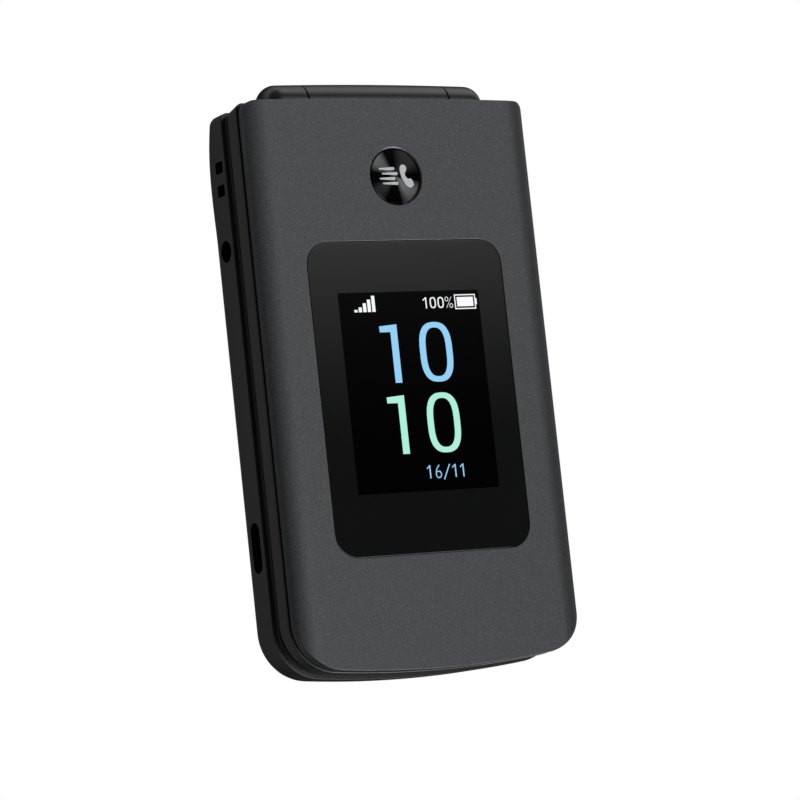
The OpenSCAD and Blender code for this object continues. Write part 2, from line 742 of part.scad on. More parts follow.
module strap_holes() {
    for (s = [-1, 1])
        translate([-half_w - 1, strap_y + s * strap_pitch / 2 - strap_w / 2, strap_z - strap_h / 2])
            cube([1 + wall + 0.3, strap_w, strap_h]);
    translate([-half_w + wall, strap_y - strap_pitch / 2 - strap_w / 2, strap_z - strap_h / 2])
        cube([1.1, strap_pitch + strap_w, strap_h]);
}

module volume_slot()
    translate([half_w - wall - 1, volume_y, volume_z]) rotate([90, 0, 90])
        linear_extrude(wall + 2) rounded(volume_l + 2 * key_gap, volume_h + 2 * key_gap, volume_h / 2 + key_gap - 0.01);

module batt_cover_plan(gap) intersection() {
    outline(rear_edge_r + 0.3 - gap, base_end, hinge_y);
    translate([-half_w, base_end]) square([body_w, batt_cover_y - base_end + gap]);
}

contact_l = 2.9;
bay_w = battery_w + 0.4;
bay_y0 = battery_y - 0.2;
bay_y1 = battery_y + battery_l + contact_l + 0.2;
sim_y = battery_y + battery_l - 17;
sim_w = 16;
sim_l = 14;
floor_step_y = rear_curve_y + 11.35;

module rear_housing() {
    strap_block = 1.9;
    color(shell_c) difference() {
        union() {
            difference() {
                base_skin();
                slab(bay_ledge_z, shell_top_z + 1) intersection() {
                    outline(wall, base_end, barrel_y - 1.4 + wall);
                    translate([-half_w, base_end]) square([body_w, floor_step_y - base_end]);
                }
                // towards the hinge the floor rises with the rear face
                slab(rear_rise(barrel_y - 1.4) + floor_t, shell_top_z + 1)
                    outline(wall, base_end, barrel_y - 1.4 + wall);
                translate([0, 0, floor_t]) linear_extrude(shell_top_z) intersection() {
                    outline(3.2, base_end, rear_curve_y + 9);
                    translate([-half_w, batt_cover_y + 1.3]) square([body_w, 60]);
                }
            }
            // walls and roof of the battery bay
            difference() {
                slab(bay_floor_z, board_z - stack_gap)
                    translate([0, (bay_y0 + bay_y1) / 2]) square([bay_w + 2.4, bay_y1 - bay_y0 + 2.4], center = true);
                slab(bay_floor_z - 1, ceiling_z)
                    translate([0, (bay_y0 + bay_y1) / 2]) square([bay_w, bay_y1 - bay_y0], center = true);
                slab(ceiling_z - 1, board_z + 1) translate([0, sim_y])
                    rounded(sim_w + 2 * set_gap, sim_l + 2 * set_gap, 0.5);
            }
            // bosses for the screws
            for (p = base_screw_places)
                slab(rear_rise(p[1]) + 0.6, boss_top_z) translate(p) circle(2.1, $fn = 32);
            // block that holds the strap post
            translate([-half_w + wall - eps, strap_y - strap_pitch - 0.6, 1.8])
                cube([strap_block, 2 * strap_pitch + 1.2, shell_top_z - 1.8]);
            end_knuckle(-1, seam_left + seam_gap / 2);
            end_knuckle(1, seam_right + seam_gap / 2);
        }
        // room for the lid's knuckle
        on_axis() along_x(-seam_left - seam_gap / 2, seam_right + seam_gap / 2, hinge_r + barrel_gap);
        // bores of the two end knuckles
        on_axis() {
            along_x(cartridge_out - 0.1, -seam_left, cartridge_r + 0.03);
            along_x(seam_right, barrel_half - 2.1, pivot_r + run_gap);
        }
        // battery cover's recess and the opening of the battery bay
        slab(-1, bay_floor_z) batt_cover_plan(set_gap);
        slab(-1, bay_ledge_z + 1) translate([0, (bay_y0 + bay_y1) / 2])
            square([bay_w, bay_y1 - bay_y0], center = true);
        // screws, sunk from the rear
        for (p = base_screw_places) {
            slab(rear_rise(p[1]) + 0.5, boss_top_z + 1) translate(p) circle(screw_shank_r + 0.1, $fn = 24);
            slab(-1, screw_seat_z(p)) translate(p) circle(screw_head_r + set_gap, $fn = 32);
        }
        nail_scoop();
        usb_slot(usb_l, usb_h, wall + 0.5);
        translate([-half_w - 1, jack_y, port_z]) rotate([0, 90, 0]) cylinder(h = wall + 1.5, r = jack_r + 0.08, $fn = 48);
        strap_holes();
        volume_slot();
        // camera, flash and loudspeaker
        translate([0, cam_y, 0]) {
            slab(-1, cam_window_t + stack_gap) circle(cam_window_r + set_gap, $fn = 64);
            slab(-1, floor_t + 1) circle(cam_window_r - 1, $fn = 48);
            translate([-flash_gap, 0]) {
                slab(-1, cam_window_t + stack_gap) circle(flash_r + set_gap, $fn = 32);
                slab(-1, floor_t + 1) circle(flash_r - 0.4, $fn = 32);
            }
            for (i = [-2:2]) translate([speaker_x, i * 1.9])
                slab(-1, floor_t + 1) rounded(9, 1, 0.49);
        }
    }
}
scoop_r = 9;
scoop_depth = 0.55;
cam_window_t = 0.75;
speaker_x = 14.5;
boss_top_z = 4;
function screw_seat_z(p) = (p[1] < 0 ? bay_floor_z : rear_rise(p[1]) + 0.5) + screw_head_t + 0.05;

// hollow for a fingernail, half in the housing and half in the battery cover
module nail_scoop()
    translate([0, batt_cover_y, scoop_depth - scoop_r]) sphere(scoop_r, $fn = 96);

module battery_cover()
    color(shell_c) difference() {
        slab(0, batt_cover_t) batt_cover_plan(0);
        nail_scoop();
    }

module battery() {
    color([0.16, 0.17, 0.2]) translate([0, battery_y + battery_l / 2, 0])
        slab(battery_z, battery_z + battery_t) rounded(battery_w, battery_l, 1.2);
    // contact pads at the hinge end
    color(copper_c) for (i = [-1:1])
        translate([contact_x + i * 2.5 - 0.8, battery_y + battery_l - eps, battery_z + 1.2]) cube([1.6, 0.06, 1.6]);
}
contact_x = -9;
contact_block_w = 8;

module battery_contacts() {
    y0 = battery_y + battery_l + 0.45;
    color(rubber_c) translate([contact_x - contact_block_w / 2, y0, battery_z + 0.3])
        cube([contact_block_w, bay_y1 - y0 - 0.05, ceiling_z - battery_z - 0.4]);
    color(copper_c) for (i = [-1:1])
        translate([contact_x + i * 2.5 - 0.5, y0 - 0.3, battery_z + 1.4]) cube([1, 0.6, 1.2]);
}

// cut-outs that the side sockets need in the boards and the mat
module socket_notches(reach) {
    translate([-half_w, jack_y - 3.3]) square([wall + jack_l + 1.3, 6.6]);
    translate([-half_w, usb_y - usb_l / 2 - 0.4]) square([reach, usb_l + 0.8]);
}

module main_board()
    color(board_c) difference() {
        slab(board_z, board_z + board_t) difference() {
            outline(3.6, base_end, barrel_y - 1.8 + 3.6);
            socket_notches(usb_notch - 0.2);
            for (p = base_screw_places) translate(p) circle(1.8, $fn = 32);
        }
    }

can_places = [[-4, batt_cover_y + 4.6], [8, hinge_y - 11.1]];
can_size = [18, 7, 1.53];
module shield_cans()
    for (p = can_places) color(metal_c) translate(p)
        slab(board_z - 0.02 - can_size[2], board_z - 0.02) rounded(can_size[0], can_size[1], 0.5);

module dome_sheet()
    color(metal_c) {
        slab(dome_z, dome_z + dome_t) difference() {
            mat_plan(3.9);
            for (p = base_screw_places) translate(p) circle(1.9, $fn = 32);
        }
        for (p = all_domes) translate([p[0], p[1], dome_z + dome_t - eps])
            cylinder(h = dome_h, r1 = 2, r2 = 1.1, $fn = 24);
    }

mat_end_gap = 6;
mat_hinge_gap = 2.6;
usb_notch = 8.6;
module mat_plan(inset) difference() {
    outline(inset, base_end + mat_end_gap, barrel_y - mat_hinge_gap + inset);
    socket_notches(usb_notch);
}

module keypad_mat()
    color(rubber_c) slab(mat_z, mat_top_z) difference() {
        mat_plan(4.2);
        for (p = all_domes) translate(p) circle(2.3, $fn = 32);
        for (p = base_screw_places) translate(p) circle(2, $fn = 32);
    }

// ---------- keys ----------

function cell(col, row) = [(col - 1) * key_pitch_x, row_1_y - row * key_pitch_y];
number_cells = [for (row = [0:3], col = [0:2]) cell(col, row)];
side_x0 = key_pitch_x + key_w / 2;
side_x1 = key_pitch_x - key_w / 2 + 0.6;
ring_gap_r = ring_r + 1.2;
soft_low = 4.9;
soft_y0 = nav_y - soft_low;
soft_y1 = nav_y + ring_r;
call_y0 = row_1_y + key_h / 2 + 1.4;
call_y1 = soft_y0 - 1.3;
clear_w = 2 * side_x1 - 2.8;
clear_y1 = nav_y - ring_r - 1.6;
ring_domes = [for (a = [0, 90, 180, 270]) [(ring_r + ok_r) / 2 * cos(a), nav_y + (ring_r + ok_r) / 2 * sin(a)]];
dome_out = 2.1;
soft_dome_up = 5;
soft_dome = [key_pitch_x + dome_out, nav_y + soft_dome_up];
call_dome = [key_pitch_x + 0.6, (call_y0 + call_y1) / 2];
clear_dome = [0, (call_y0 + clear_y1) / 2];
all_domes = concat(number_cells, ring_domes, [[0, nav_y]],
    [for (s = [-1, 1]) each [[s * soft_dome[0], soft_dome[1]], [s * call_dome[0], call_dome[1]]]], [clear_dome]);

module number_plan(grow) rounded(key_w + 2 * grow, key_h + 2 * grow, key_r + grow);

module side_plan(y0, y1, grow) difference() {
    translate([(side_x0 + side_x1) / 2, (y0 + y1) / 2])
        rounded(side_x0 - side_x1 + 2 * grow, y1 - y0 + 2 * grow, key_r + grow);
    translate([0, nav_y]) circle(ring_gap_r - grow, $fn = 96);
}

module soft_plan(side, grow) mirror([side < 0 ? 1 : 0, 0]) side_plan(soft_y0, soft_y1, grow);
module call_plan(side, grow) mirror([side < 0 ? 1 : 0, 0]) side_plan(call_y0, call_y1, grow);
module clear_plan(grow)
    translate(clear_dome) rounded(clear_w + 2 * grow, clear_y1 - call_y0 + 2 * grow, key_r + grow);
module ring_plan(grow) translate([0, nav_y]) difference() {
    circle(ring_r + grow, $fn = 96);
    circle(ok_r + key_gap + 0.1 - grow, $fn = 64);
}
module ok_plan(grow) translate([0, nav_y]) circle(ok_r + grow, $fn = 64);

module plunger(p) slab(plunger_low_z, flange_top_z - flange_t + eps) translate(p) circle(1.2, $fn = 24);
module cap_slab() slab(flange_top_z - flange_t, field_z + key_proud) children();
module flange_slab() slab(flange_top_z - flange_t, flange_top_z) children();

module number_key(i) color(key_c) {
    cap_slab() translate(number_cells[i]) number_plan(0);
    flange_slab() translate(number_cells[i]) number_plan(flange_w);
    plunger(number_cells[i]);
}
module soft_key(side) color(key_c) {
    cap_slab() soft_plan(side, 0);
    flange_slab() soft_plan(side, flange_w);
    plunger([side * soft_dome[0], soft_dome[1]]);
}
module phone_key(side, c) color(c) {
    cap_slab() call_plan(side, 0);
    flange_slab() call_plan(side, flange_w);
    plunger([side * call_dome[0], call_dome[1]]);
}
module clear_key() color(key_c) {
    cap_slab() clear_plan(0);
    flange_slab() clear_plan(flange_w);
    plunger(clear_dome);
}
module nav_ring() color(metal_c) {
    cap_slab() ring_plan(0);
    flange_slab() difference() {
        translate([0, nav_y]) circle(ring_r + flange_w, $fn = 96);
        ok_plan(key_gap + 0.1);
    }
    for (p = ring_domes) plunger(p);
}
module ok_key() color(metal_c) {
    cap_slab() ok_plan(0);
    plunger([0, nav_y]);
}

lip_cut_w = 8;
module front_housing() {
    lip_in = wall + set_gap;
    color(band_c) difference() {
        union() {
            slab(front_low_z, front_face_z) outline(band_inset, base_end, hinge_y - base_end_gap);
            // lip that locates it in the rear shell, left out at the sockets and the side key
            difference() {
                slab(front_low_z - 0.8, front_low_z + eps) difference() {
                    outline(lip_in, base_end, barrel_y - 1.6 + lip_in);
                    outline(lip_in + 0.8, base_end, barrel_y - 1.6 + lip_in);
                }
                for (c = [[-half_w, strap_y - 6, 30], [-half_w, jack_y - 4, 8], [-half_w, usb_y - 6, 12],
                        [half_w - lip_cut_w, volume_y - volume_l / 2 - 2, volume_l + 4]])
                    translate([c[0], c[1], 0]) cube([lip_cut_w, c[2], notch_l]);
            }
            for (p = base_screw_places)
                slab(boss_top_z + 0.1, front_low_z + eps) translate(p) circle(1.5, $fn = 32);
        }
        // the hinge barrel stands in this notch
        slab(front_low_z - 2, front_face_z + 1)
            translate([hinge_x - barrel_half - 0.25, barrel_y + 0.02]) square([2 * barrel_half + 0.5, notch_l]);
        // keypad field
        slab(field_z, front_face_z + 1) translate([0, (soft_y1 + number_cells[9][1] - key_h / 2) / 2])
            rounded(2 * side_x0 + 2.8, soft_y1 - number_cells[9][1] + key_h / 2 + 3.4, 3.4);
        // openings of the keys
        slab(front_low_z - 1, front_face_z + 1) {
            for (c = number_cells) translate(c) number_plan(key_gap);
            for (s = [-1, 1]) {
                soft_plan(s, key_gap);
                call_plan(s, key_gap);
            }
            clear_plan(key_gap);
            translate([0, nav_y]) circle(ring_r + key_gap, $fn = 96);
        }
        slab(front_low_z - 1, front_face_z + 1) translate([mic_x, mic_y]) circle(0.5, $fn = 24);
        for (p = base_screw_places)
            slab(boss_top_z - 1, front_low_z - 0.3) translate(p) circle(screw_shank_r + 0.02, $fn = 24);
    }
}

// ---------- sockets, side key and what lies inside ----------

volume_flange_x = half_w - wall - 0.95;
rocker_rib_r = 0.4;
module volume_key()
    color(shell_c) translate([0, volume_y, volume_z]) rotate([90, 0, 90]) {
        slab(volume_flange_x + 0.1, half_w + volume_proud) rounded(volume_l, volume_h, volume_h / 2 - 0.01);
        slab(volume_flange_x, volume_flange_x + 0.55) rounded(volume_l + 1.4, volume_h + 1, 1);
        // round rib that the key rocks on
        translate([0, -volume_h / 2, volume_flange_x]) rotate([-90, 0, 0])
            cylinder(h = volume_h, r = rocker_rib_r, $fn = 24);
    }

module volume_switches()
    for (s = [-1, 1]) color(metal_c) translate([0, volume_y + s * 6.5, 0]) {
        translate([volume_flange_x - 2.6, -1.75, board_z - 1.4]) cube([2, 3.5, 1.38]);
        translate([volume_flange_x - 0.65, 0, board_z - 0.7]) rotate([0, 90, 0])
            cylinder(h = 0.4, r = 0.6, $fn = 24);
    }

usb_depth = 7.2;
module usb_socket()
    color(metal_c) translate([-half_w + 0.5, usb_y, port_z]) rotate([90, 0, 90]) {
        difference() {
            slab(0, usb_depth) rounded(usb_l - 0.1, usb_h - 0.1, usb_h / 2 - 0.06);
            slab(-1, usb_depth - 0.8) rounded(usb_l - 0.6, usb_h - 0.6, usb_h / 2 - 0.31);
        }
        slab(0.9, usb_depth - 0.5) square([6.6, 0.7], center = true);
    }

module audio_jack() {
    x0 = -half_w + wall + stack_gap;
    color(rubber_c) difference() {
        translate([x0, jack_y - 3, port_z - 2.4]) cube([jack_l + 0.4, 6, 4.25]);
        translate([x0 - 1, jack_y, port_z]) rotate([0, 90, 0]) cylinder(h = jack_l + 1, r = jack_r, $fn = 48);
    }
}

module camera_module()
    color(rubber_c) translate([0, cam_y, 0]) {
        slab(floor_t + 0.5, board_z - stack_gap) rounded(cam_side, cam_side, 0.6);
        slab(cam_window_t + stack_gap * 2, floor_t + 0.6) circle(cam_window_r - 1.3, $fn = 48);
    }

module camera_window()
    color(glass_c) translate([0, cam_y, 0]) slab(0, cam_window_t) circle(cam_window_r, $fn = 64);

module flash_window()
    color([0.9, 0.88, 0.75]) translate([-flash_gap, cam_y, 0]) slab(0, cam_window_t) circle(flash_r, $fn = 32);

speaker_box = [15, 11];
speaker_back = [9, 6];
speaker_t = 3;
module loudspeaker()
    color(rubber_c) translate([speaker_x, cam_y, 0]) {
        slab(floor_t + 0.03, floor_t + speaker_t) rounded(speaker_box[0], speaker_box[1], 1.5);
        slab(floor_t + speaker_t - 0.1, floor_t + speaker_t + 0.3) rounded(speaker_back[0], speaker_back[1], 1);
    }

motor_r = 4;
motor_x = -11;
motor_from_hinge = 14;
module vibration_motor()
    color(metal_c) translate([motor_x, hinge_y - motor_from_hinge, 0])
        slab(bay_ledge_z + 0.05, bay_ledge_z + 2.6) circle(motor_r, $fn = 48);

mic_x = 0;
mic_y = base_end + 5.4;
module microphone()
    color(metal_c) translate([mic_x, mic_y, 0])
        slab(board_z + board_t + 0.02, front_low_z - 0.1) rounded(3.8, 3, 0.3);

module sim_holder()
    color(metal_c) translate([0, sim_y, 0]) slab(ceiling_z + 0.1, board_z - 0.02) rounded(sim_w, sim_l, 0.4);

module base_screws()
    for (p = base_screw_places)
        color(metal_c) translate(p) screw(screw_seat_z(p) - screw_head_t - 0.02, front_low_z - 0.6, true);

lid_cover();
lid_frame();
outer_window();
outer_display();
quick_call_key();
quick_key_switch();
lid_board();
lid_inner_housing();
inner_lens();
main_display();
earpiece();
earpiece_mesh();
lid_magnet();
lid_bumpers();
lid_screws();
hinge_flex();
hinge_cartridge();
hinge_cam();
hinge_pivot();
rear_housing();
front_housing();
battery_cover();
battery();
battery_contacts();
main_board();
shield_cans();
dome_sheet();
keypad_mat();
number_key(0);  // key_1
number_key(1);  // key_2
number_key(2);  // key_3
number_key(3);  // key_4
number_key(4);  // key_5
number_key(5);  // key_6
number_key(6);  // key_7
number_key(7);  // key_8
number_key(8);  // key_9
number_key(9);  // key_star
number_key(10);  // key_0
number_key(11);  // key_hash
nav_ring();
ok_key();
soft_key(-1);  // soft_key_left
soft_key(1);  // soft_key_right
phone_key(-1, key_c);  // call_key
clear_key();
phone_key(1, key_c);  // end_key
volume_key();
volume_switches();
usb_socket();
audio_jack();
camera_module();
camera_window();
flash_window();
loudspeaker();
vibration_motor();
microphone();
sim_holder();
base_screws();
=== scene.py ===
import json
import math

import bmesh
import bpy
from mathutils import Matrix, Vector

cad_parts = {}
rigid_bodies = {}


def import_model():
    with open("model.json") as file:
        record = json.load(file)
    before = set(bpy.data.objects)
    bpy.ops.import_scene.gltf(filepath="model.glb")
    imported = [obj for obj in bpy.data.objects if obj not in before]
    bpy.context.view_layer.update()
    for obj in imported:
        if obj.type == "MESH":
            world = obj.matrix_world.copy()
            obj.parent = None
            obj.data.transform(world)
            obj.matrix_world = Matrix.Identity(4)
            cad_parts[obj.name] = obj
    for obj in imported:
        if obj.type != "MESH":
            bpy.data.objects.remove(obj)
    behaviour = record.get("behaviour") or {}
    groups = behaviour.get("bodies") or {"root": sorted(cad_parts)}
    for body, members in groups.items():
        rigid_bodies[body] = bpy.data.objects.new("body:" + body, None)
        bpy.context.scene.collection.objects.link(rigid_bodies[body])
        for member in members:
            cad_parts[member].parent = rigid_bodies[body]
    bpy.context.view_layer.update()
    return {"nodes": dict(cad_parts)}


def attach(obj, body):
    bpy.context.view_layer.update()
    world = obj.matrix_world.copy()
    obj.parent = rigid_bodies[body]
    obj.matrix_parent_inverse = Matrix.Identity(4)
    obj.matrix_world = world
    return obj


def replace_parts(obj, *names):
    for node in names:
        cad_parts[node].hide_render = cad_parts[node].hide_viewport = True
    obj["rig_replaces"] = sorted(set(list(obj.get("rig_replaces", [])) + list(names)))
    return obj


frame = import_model()
mm = 0.001
print("frame loaded:", len(frame["nodes"]), "nodes")

# places of the phone that several pieces share, in millimetres
phone = {
    "halfWidth": 29.5,
    "cornerR": 9.2,
    "hingeCornerR": 1.5,
    "endBow": 206.545,      # radius of the bowed free end
    "baseEnd": -53.95,
    "lidEnd": -53.3,
    "sideSplitY": 26.0,     # the long sides have closer points from here to the hinge
    "hingeX": 0.55,         # middle of the hinge barrel
    "hingeY": 49.65,
    "axisZ": 10.0,
    "faceZ": 17.8,
    "barrelR": 4.3,
    "barrelCrown": 0.3,     # the barrel is that much thinner at its ends
    "barrelGap": 0.25,
    "barrelHalf": 22.85,
    "seam": 14.6,
    "seamGap": 0.2,
    "windowY": -4.45,
    "keyY": 35.5,
}
hinge = (phone["hingeX"], phone["hingeY"], phone["axisZ"])
square = math.pi / 2


# shapes

def steps(low, high, count):
    return [low + (high - low) * i / count for i in range(count + 1)]


def smooth(value, low, high):
    t = min(max((value - low) / (high - low), 0.0), 1.0)
    return t * t * (3 - 2 * t)


def quarter(radius, count=4):
    # steps round a rounded edge, from its side to its face: how far in and how far down
    return [(radius * (1 - math.cos(a)), radius * (1 - math.sin(a))) for a in steps(0, square, count)]


def arc(x, y, radius, start, end, count):
    # points on a circle about x, y; the angles count from straight down towards +X
    return [(x + radius * math.sin(a), y - radius * math.cos(a)) for a in steps(start, end, count)]


def mirrored(right):
    # the right half of an outline, from the middle of its near end, and its mirror image
    return right + [(-x, y) for x, y in reversed(right[1:])]


def planRing(inset, endY, topY):
    # outline of base or lid from above, moved in by inset
    bow, corner, half = phone["endBow"], phone["cornerR"], phone["halfWidth"]
    cornerX, bowY = half - corner, endY + bow
    cornerY = bowY - math.sqrt((bow - corner) ** 2 - cornerX ** 2)
    tip = math.asin(cornerX / (bow - corner))
    side, top, split = half - inset, topY - inset, phone["sideSplitY"]
    hingeR = max(phone["hingeCornerR"] - inset, 0.02)
    right = arc(0, bowY, bow - inset, 0, tip, 10) + arc(cornerX, cornerY, corner - inset, tip, square, 16)[1:]
    right += [(side, y) for y in steps(cornerY, split, 6)[1:] + steps(split, top - hingeR, 12)[1:]]
    return mirrored(right + arc(side - hingeR, top - hingeR, hingeR, square, math.pi, 8)[1:])


def roundedRing(size, centre=(0, 0), grow=0.0, count=8):
    # rectangle of width, height and corner radius, moved out by grow
    x, y, radius = size[0] / 2 + grow, size[1] / 2 + grow, size[2] + grow
    right = [(0.0, -y)] + arc(x - radius, radius - y, radius, 0, square, count)
    right += arc(x - radius, y - radius, radius, square, math.pi, count)
    return [(px + centre[0], py + centre[1]) for px, py in mirrored(right)]


def circleRing(radius, centre):
    right = arc(0, 0, radius, 0, math.pi, 24)[:-1]
    return [(px + centre[0], py + centre[1]) for px, py in mirrored(right)]


def atHeight(ring, z):
    return [(x, y, z) for x, y in ring]


def vertices(bm, points):
    return [bm.verts.new(Vector(p) * mm) for p in points]


def bridged(bm, rows, closed=False):
    # walls from each ring of vertices to the next; a closed set goes back to its first
    for low, high in zip(rows, rows[1:] + (rows[:1] if closed else [])):
        for i in range(len(low)):
            j = (i + 1) % len(low)
            bm.faces.new((low[i], low[j], high[j], high[i]))


def linked(name, mesh):
    piece = bpy.data.objects.new(name, mesh)
    bpy.context.scene.collection.objects.link(piece)
    return piece


def newPiece(name, bm):
    bmesh.ops.remove_doubles(bm, verts=bm.verts, dist=1e-7)
    bmesh.ops.dissolve_degenerate(bm, edges=bm.edges, dist=1e-7)
    bmesh.ops.recalc_face_normals(bm, faces=bm.faces)
    mesh = bpy.data.meshes.new(name)
    bm.to_mesh(mesh)
    bm.free()
    return linked(name, mesh)


def stripCap(bm, row):
    # closes a symmetric ring with strips across it
    count = len(row)
    bm.faces.new((row[0], row[1], row[count - 1]))
    for i in range(1, count // 2):
        bm.faces.new((row[i], row[i + 1], row[count - i - 1], row[count - i]))


def lofted(name, rings):
    # symmetric rings joined one to the next, with both ends capped
    bm = bmesh.new()
    rows = [vertices(bm, ring) for ring in rings]
    bridged(bm, rows)
    stripCap(bm, rows[0])
    stripCap(bm, rows[-1])
    return newPiece(name, bm)


def prism(name, ring, heights):
    return lofted(name, [atHeight(ring, z) for z in heights])


def lathed(name, profile, centre, axis="Z", count=96, closed=False):
    # profile of (radius, height) turned about an axis through centre
    bm = bmesh.new()
    rows = []
    for r, h in profile:
        ring = []
        for a in steps(0, 2 * math.pi, count)[:-1]:
            u, v = r * math.cos(a), r * math.sin(a)
            turned = (h, u, v) if axis == "X" else (u, v, h)
            ring.append([own + moved for own, moved in zip(turned, centre)])
        rows.append(vertices(bm, ring))
    bridged(bm, rows, closed)
    return newPiece(name, bm)


def drum(name, radius, low, high, centre, axis="Z", count=96):
    return lathed(name, [(0, low), (radius, low), (radius, high), (0, high)], centre, axis, count)


def plate(name, outlines, low, high):
    # flat pieces of one height; an outline is a list of points, or a pair (outer, inner) of equal count
    bm = bmesh.new()
    for outline in outlines:
        loops = outline if isinstance(outline, tuple) else (outline,)
        rows = [[vertices(bm, atHeight(loop, z)) for z in (low, high)] for loop in loops]
        for row in rows:
            bridged(bm, row)
        for level in (0, 1):
            if len(rows) == 1:
                bm.faces.new(rows[0][level])
            else:
                bridged(bm, [rows[0][level], rows[1][level]])
    return newPiece(name, bm)


def bar(x0, y0, x1, y1):
    return [(x0, y0), (x1, y0), (x1, y1), (x0, y1)]


def baked(piece):
    # the piece's modifiers become its mesh
    evaluated = piece.evaluated_get(bpy.context.evaluated_depsgraph_get())
    old, piece.data = piece.data, bpy.data.meshes.new_from_object(evaluated)
    piece.modifiers.clear()
    piece.data.name = piece.name
    bpy.data.meshes.remove(old)
    return piece


def joined(piece, tool, how):
    modifier = piece.modifiers.new(how, "BOOLEAN")
    modifier.operation = how
    modifier.material_mode = "TRANSFER"
    modifier.solver = "EXACT"
    modifier.object = tool
    baked(piece)
    bpy.data.objects.remove(tool)
    return piece


def cut(piece, *tools):
    for tool in tools:
        joined(piece, tool, "DIFFERENCE")
    return piece


def smoothed(piece, angle=30):
    piece.data.shade_smooth()
    piece.data.set_sharp_from_angle(angle=math.radians(angle))
    return piece


def evened(piece, angle=30):
    # smooth, with large flat faces kept flat to the light beside their rounded edges
    smoothed(piece, angle)
    modifier = piece.modifiers.new("normals", "WEIGHTED_NORMAL")
    modifier.mode = "FACE_AREA"
    modifier.weight = 90
    modifier.keep_sharp = True
    return baked(piece)


def bevelled(piece, width, segments=2, angle=35):
    modifier = piece.modifiers.new("edges", "BEVEL")
    modifier.width = width * mm
    modifier.segments = segments
    modifier.limit_method = "ANGLE"
    modifier.angle_limit = math.radians(angle)
    baked(piece)
    return evened(piece, angle)


def lined(piece, finish):
    # the faces that a cutter leaves in a piece keep the cutter's finish
    piece.data.materials.append(finishes[finish])
    return piece


def fitted(piece, finish, body, slot, *nodes):
    # gives a finished piece its finish, its body and the nodes that it stands for; the slot argument is not
    # used
    if len(piece.data.materials) > 1:
        piece.data.materials[0] = finishes[finish]
    else:
        piece.data.materials.clear()
        piece.data.materials.append(finishes[finish])
        for face in piece.data.polygons:
            face.material_index = 0
    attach(piece, body)
    if nodes:
        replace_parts(piece, *nodes)
    return piece


def marked(name, outlines, heights, finish, body, slot):
    # printed or lit marks on a face
    return fitted(plate(name, outlines, *heights), finish, body, slot)


def tidyCopy(node, name):
    # a merged copy of a node's triangles, with its flat faces made whole
    bm = bmesh.new()
    bm.from_mesh(frame["nodes"][node].data)
    bmesh.ops.remove_doubles(bm, verts=bm.verts, dist=2e-6)
    bmesh.ops.dissolve_limit(bm, angle_limit=math.radians(0.5), verts=bm.verts, edges=bm.edges)
    return newPiece(name, bm)


def dressed(node, name, finish, body, slot, width, segments=2, angle=35):
    # a node's own shape with rounded edges, in its place
    return fitted(bevelled(tidyCopy(node, name), width, segments, angle), finish, body, slot, node)


def glyphs(name, text, place, heights, keepWidth=False, flip=False, thin=0.0):
    # figures or signs fitted into a box, as thin raised pieces; flip is for a face that looks down
    x0, y0, x1, y1 = place
    low, high = heights
    curve = bpy.data.curves.new(name, "FONT")
    curve.body = text
    curve.extrude = 0.1
    curve.offset = -thin
    curve.resolution_u = 5
    holder = linked(name + "Text", curve)
    mesh = bpy.data.meshes.new_from_object(holder.evaluated_get(bpy.context.evaluated_depsgraph_get()))
    bpy.data.objects.remove(holder)
    bpy.data.curves.remove(curve)
    bm = bmesh.new()
    bm.from_mesh(mesh)
    bpy.data.meshes.remove(mesh)
    xs, ys = ([v.co[axis] for v in bm.verts] for axis in (0, 1))
    wide, tall = max(xs) - min(xs), max(ys) - min(ys)
    scaleX = (y1 - y0) / tall if keepWidth else (x1 - x0) / wide
    scaleY = (y1 - y0) / tall * (-1 if flip else 1)
    midX, midY = (min(xs) + max(xs)) / 2, (min(ys) + max(ys)) / 2
    for v in bm.verts:
        v.co = Vector(((x0 + x1) / 2 + (v.co.x - midX) * scaleX, (y0 + y1) / 2 + (v.co.y - midY) * scaleY,
                       high if v.co.z > 0 else low)) * mm
    return newPiece(name, bm)


# node trees

def fed(tree, node, inputs):
    # each input gets a value or another node's output
    for key, value in inputs.items():
        if isinstance(value, bpy.types.NodeSocket):
            tree.links.new(value, node.inputs[key])
        else:
            node.inputs[key].default_value = value
    return node


def addNode(tree, kind, inputs, settings):
    node = tree.nodes.new(kind)
    for key, value in settings.items():
        setattr(node, key, value)
    return fed(tree, node, inputs)


def shading(tree, kind, inputs=None, **settings):
    return addNode(tree, "ShaderNode" + kind, inputs or {}, settings)


def forming(tree, kind, inputs=None, **settings):
    return addNode(tree, "GeometryNode" + kind, inputs or {}, settings)


def worked(tree, operation, first, second):
    return shading(tree, "Math", {0: first, 1: second}, operation=operation).outputs[0]


def ownPlace(tree):
    return shading(tree, "TexCoord").outputs["Object"]


def ranged(tree, value, start, full, low, high, kind="LINEAR"):
    # low up to start, high from full on
    inputs = {"Value": value, "From Min": start, "From Max": full, "To Min": low, "To Max": high}
    return shading(tree, "MapRange", inputs, interpolation_type=kind).outputs["Result"]


def shades(colour, *tones):
    # stops of one colour, from pairs of position and share
    return [(position, [c * share for c in colour]) for position, share in tones]


def ramped(tree, value, stops):
    # a colour that runs through stops, pairs of position and colour, as value rises
    ramp = shading(tree, "ValToRGB", {"Fac": value})
    row = ramp.color_ramp.elements
    for stop, (position, colour) in zip(list(row), (stops[0], stops[-1])):
        stop.position = position
        stop.color = [*colour, 1.0]
    for position, colour in stops[1:-1]:
        row.new(position).color = [*colour, 1.0]
    return ramp.outputs["Color"]


# finishes

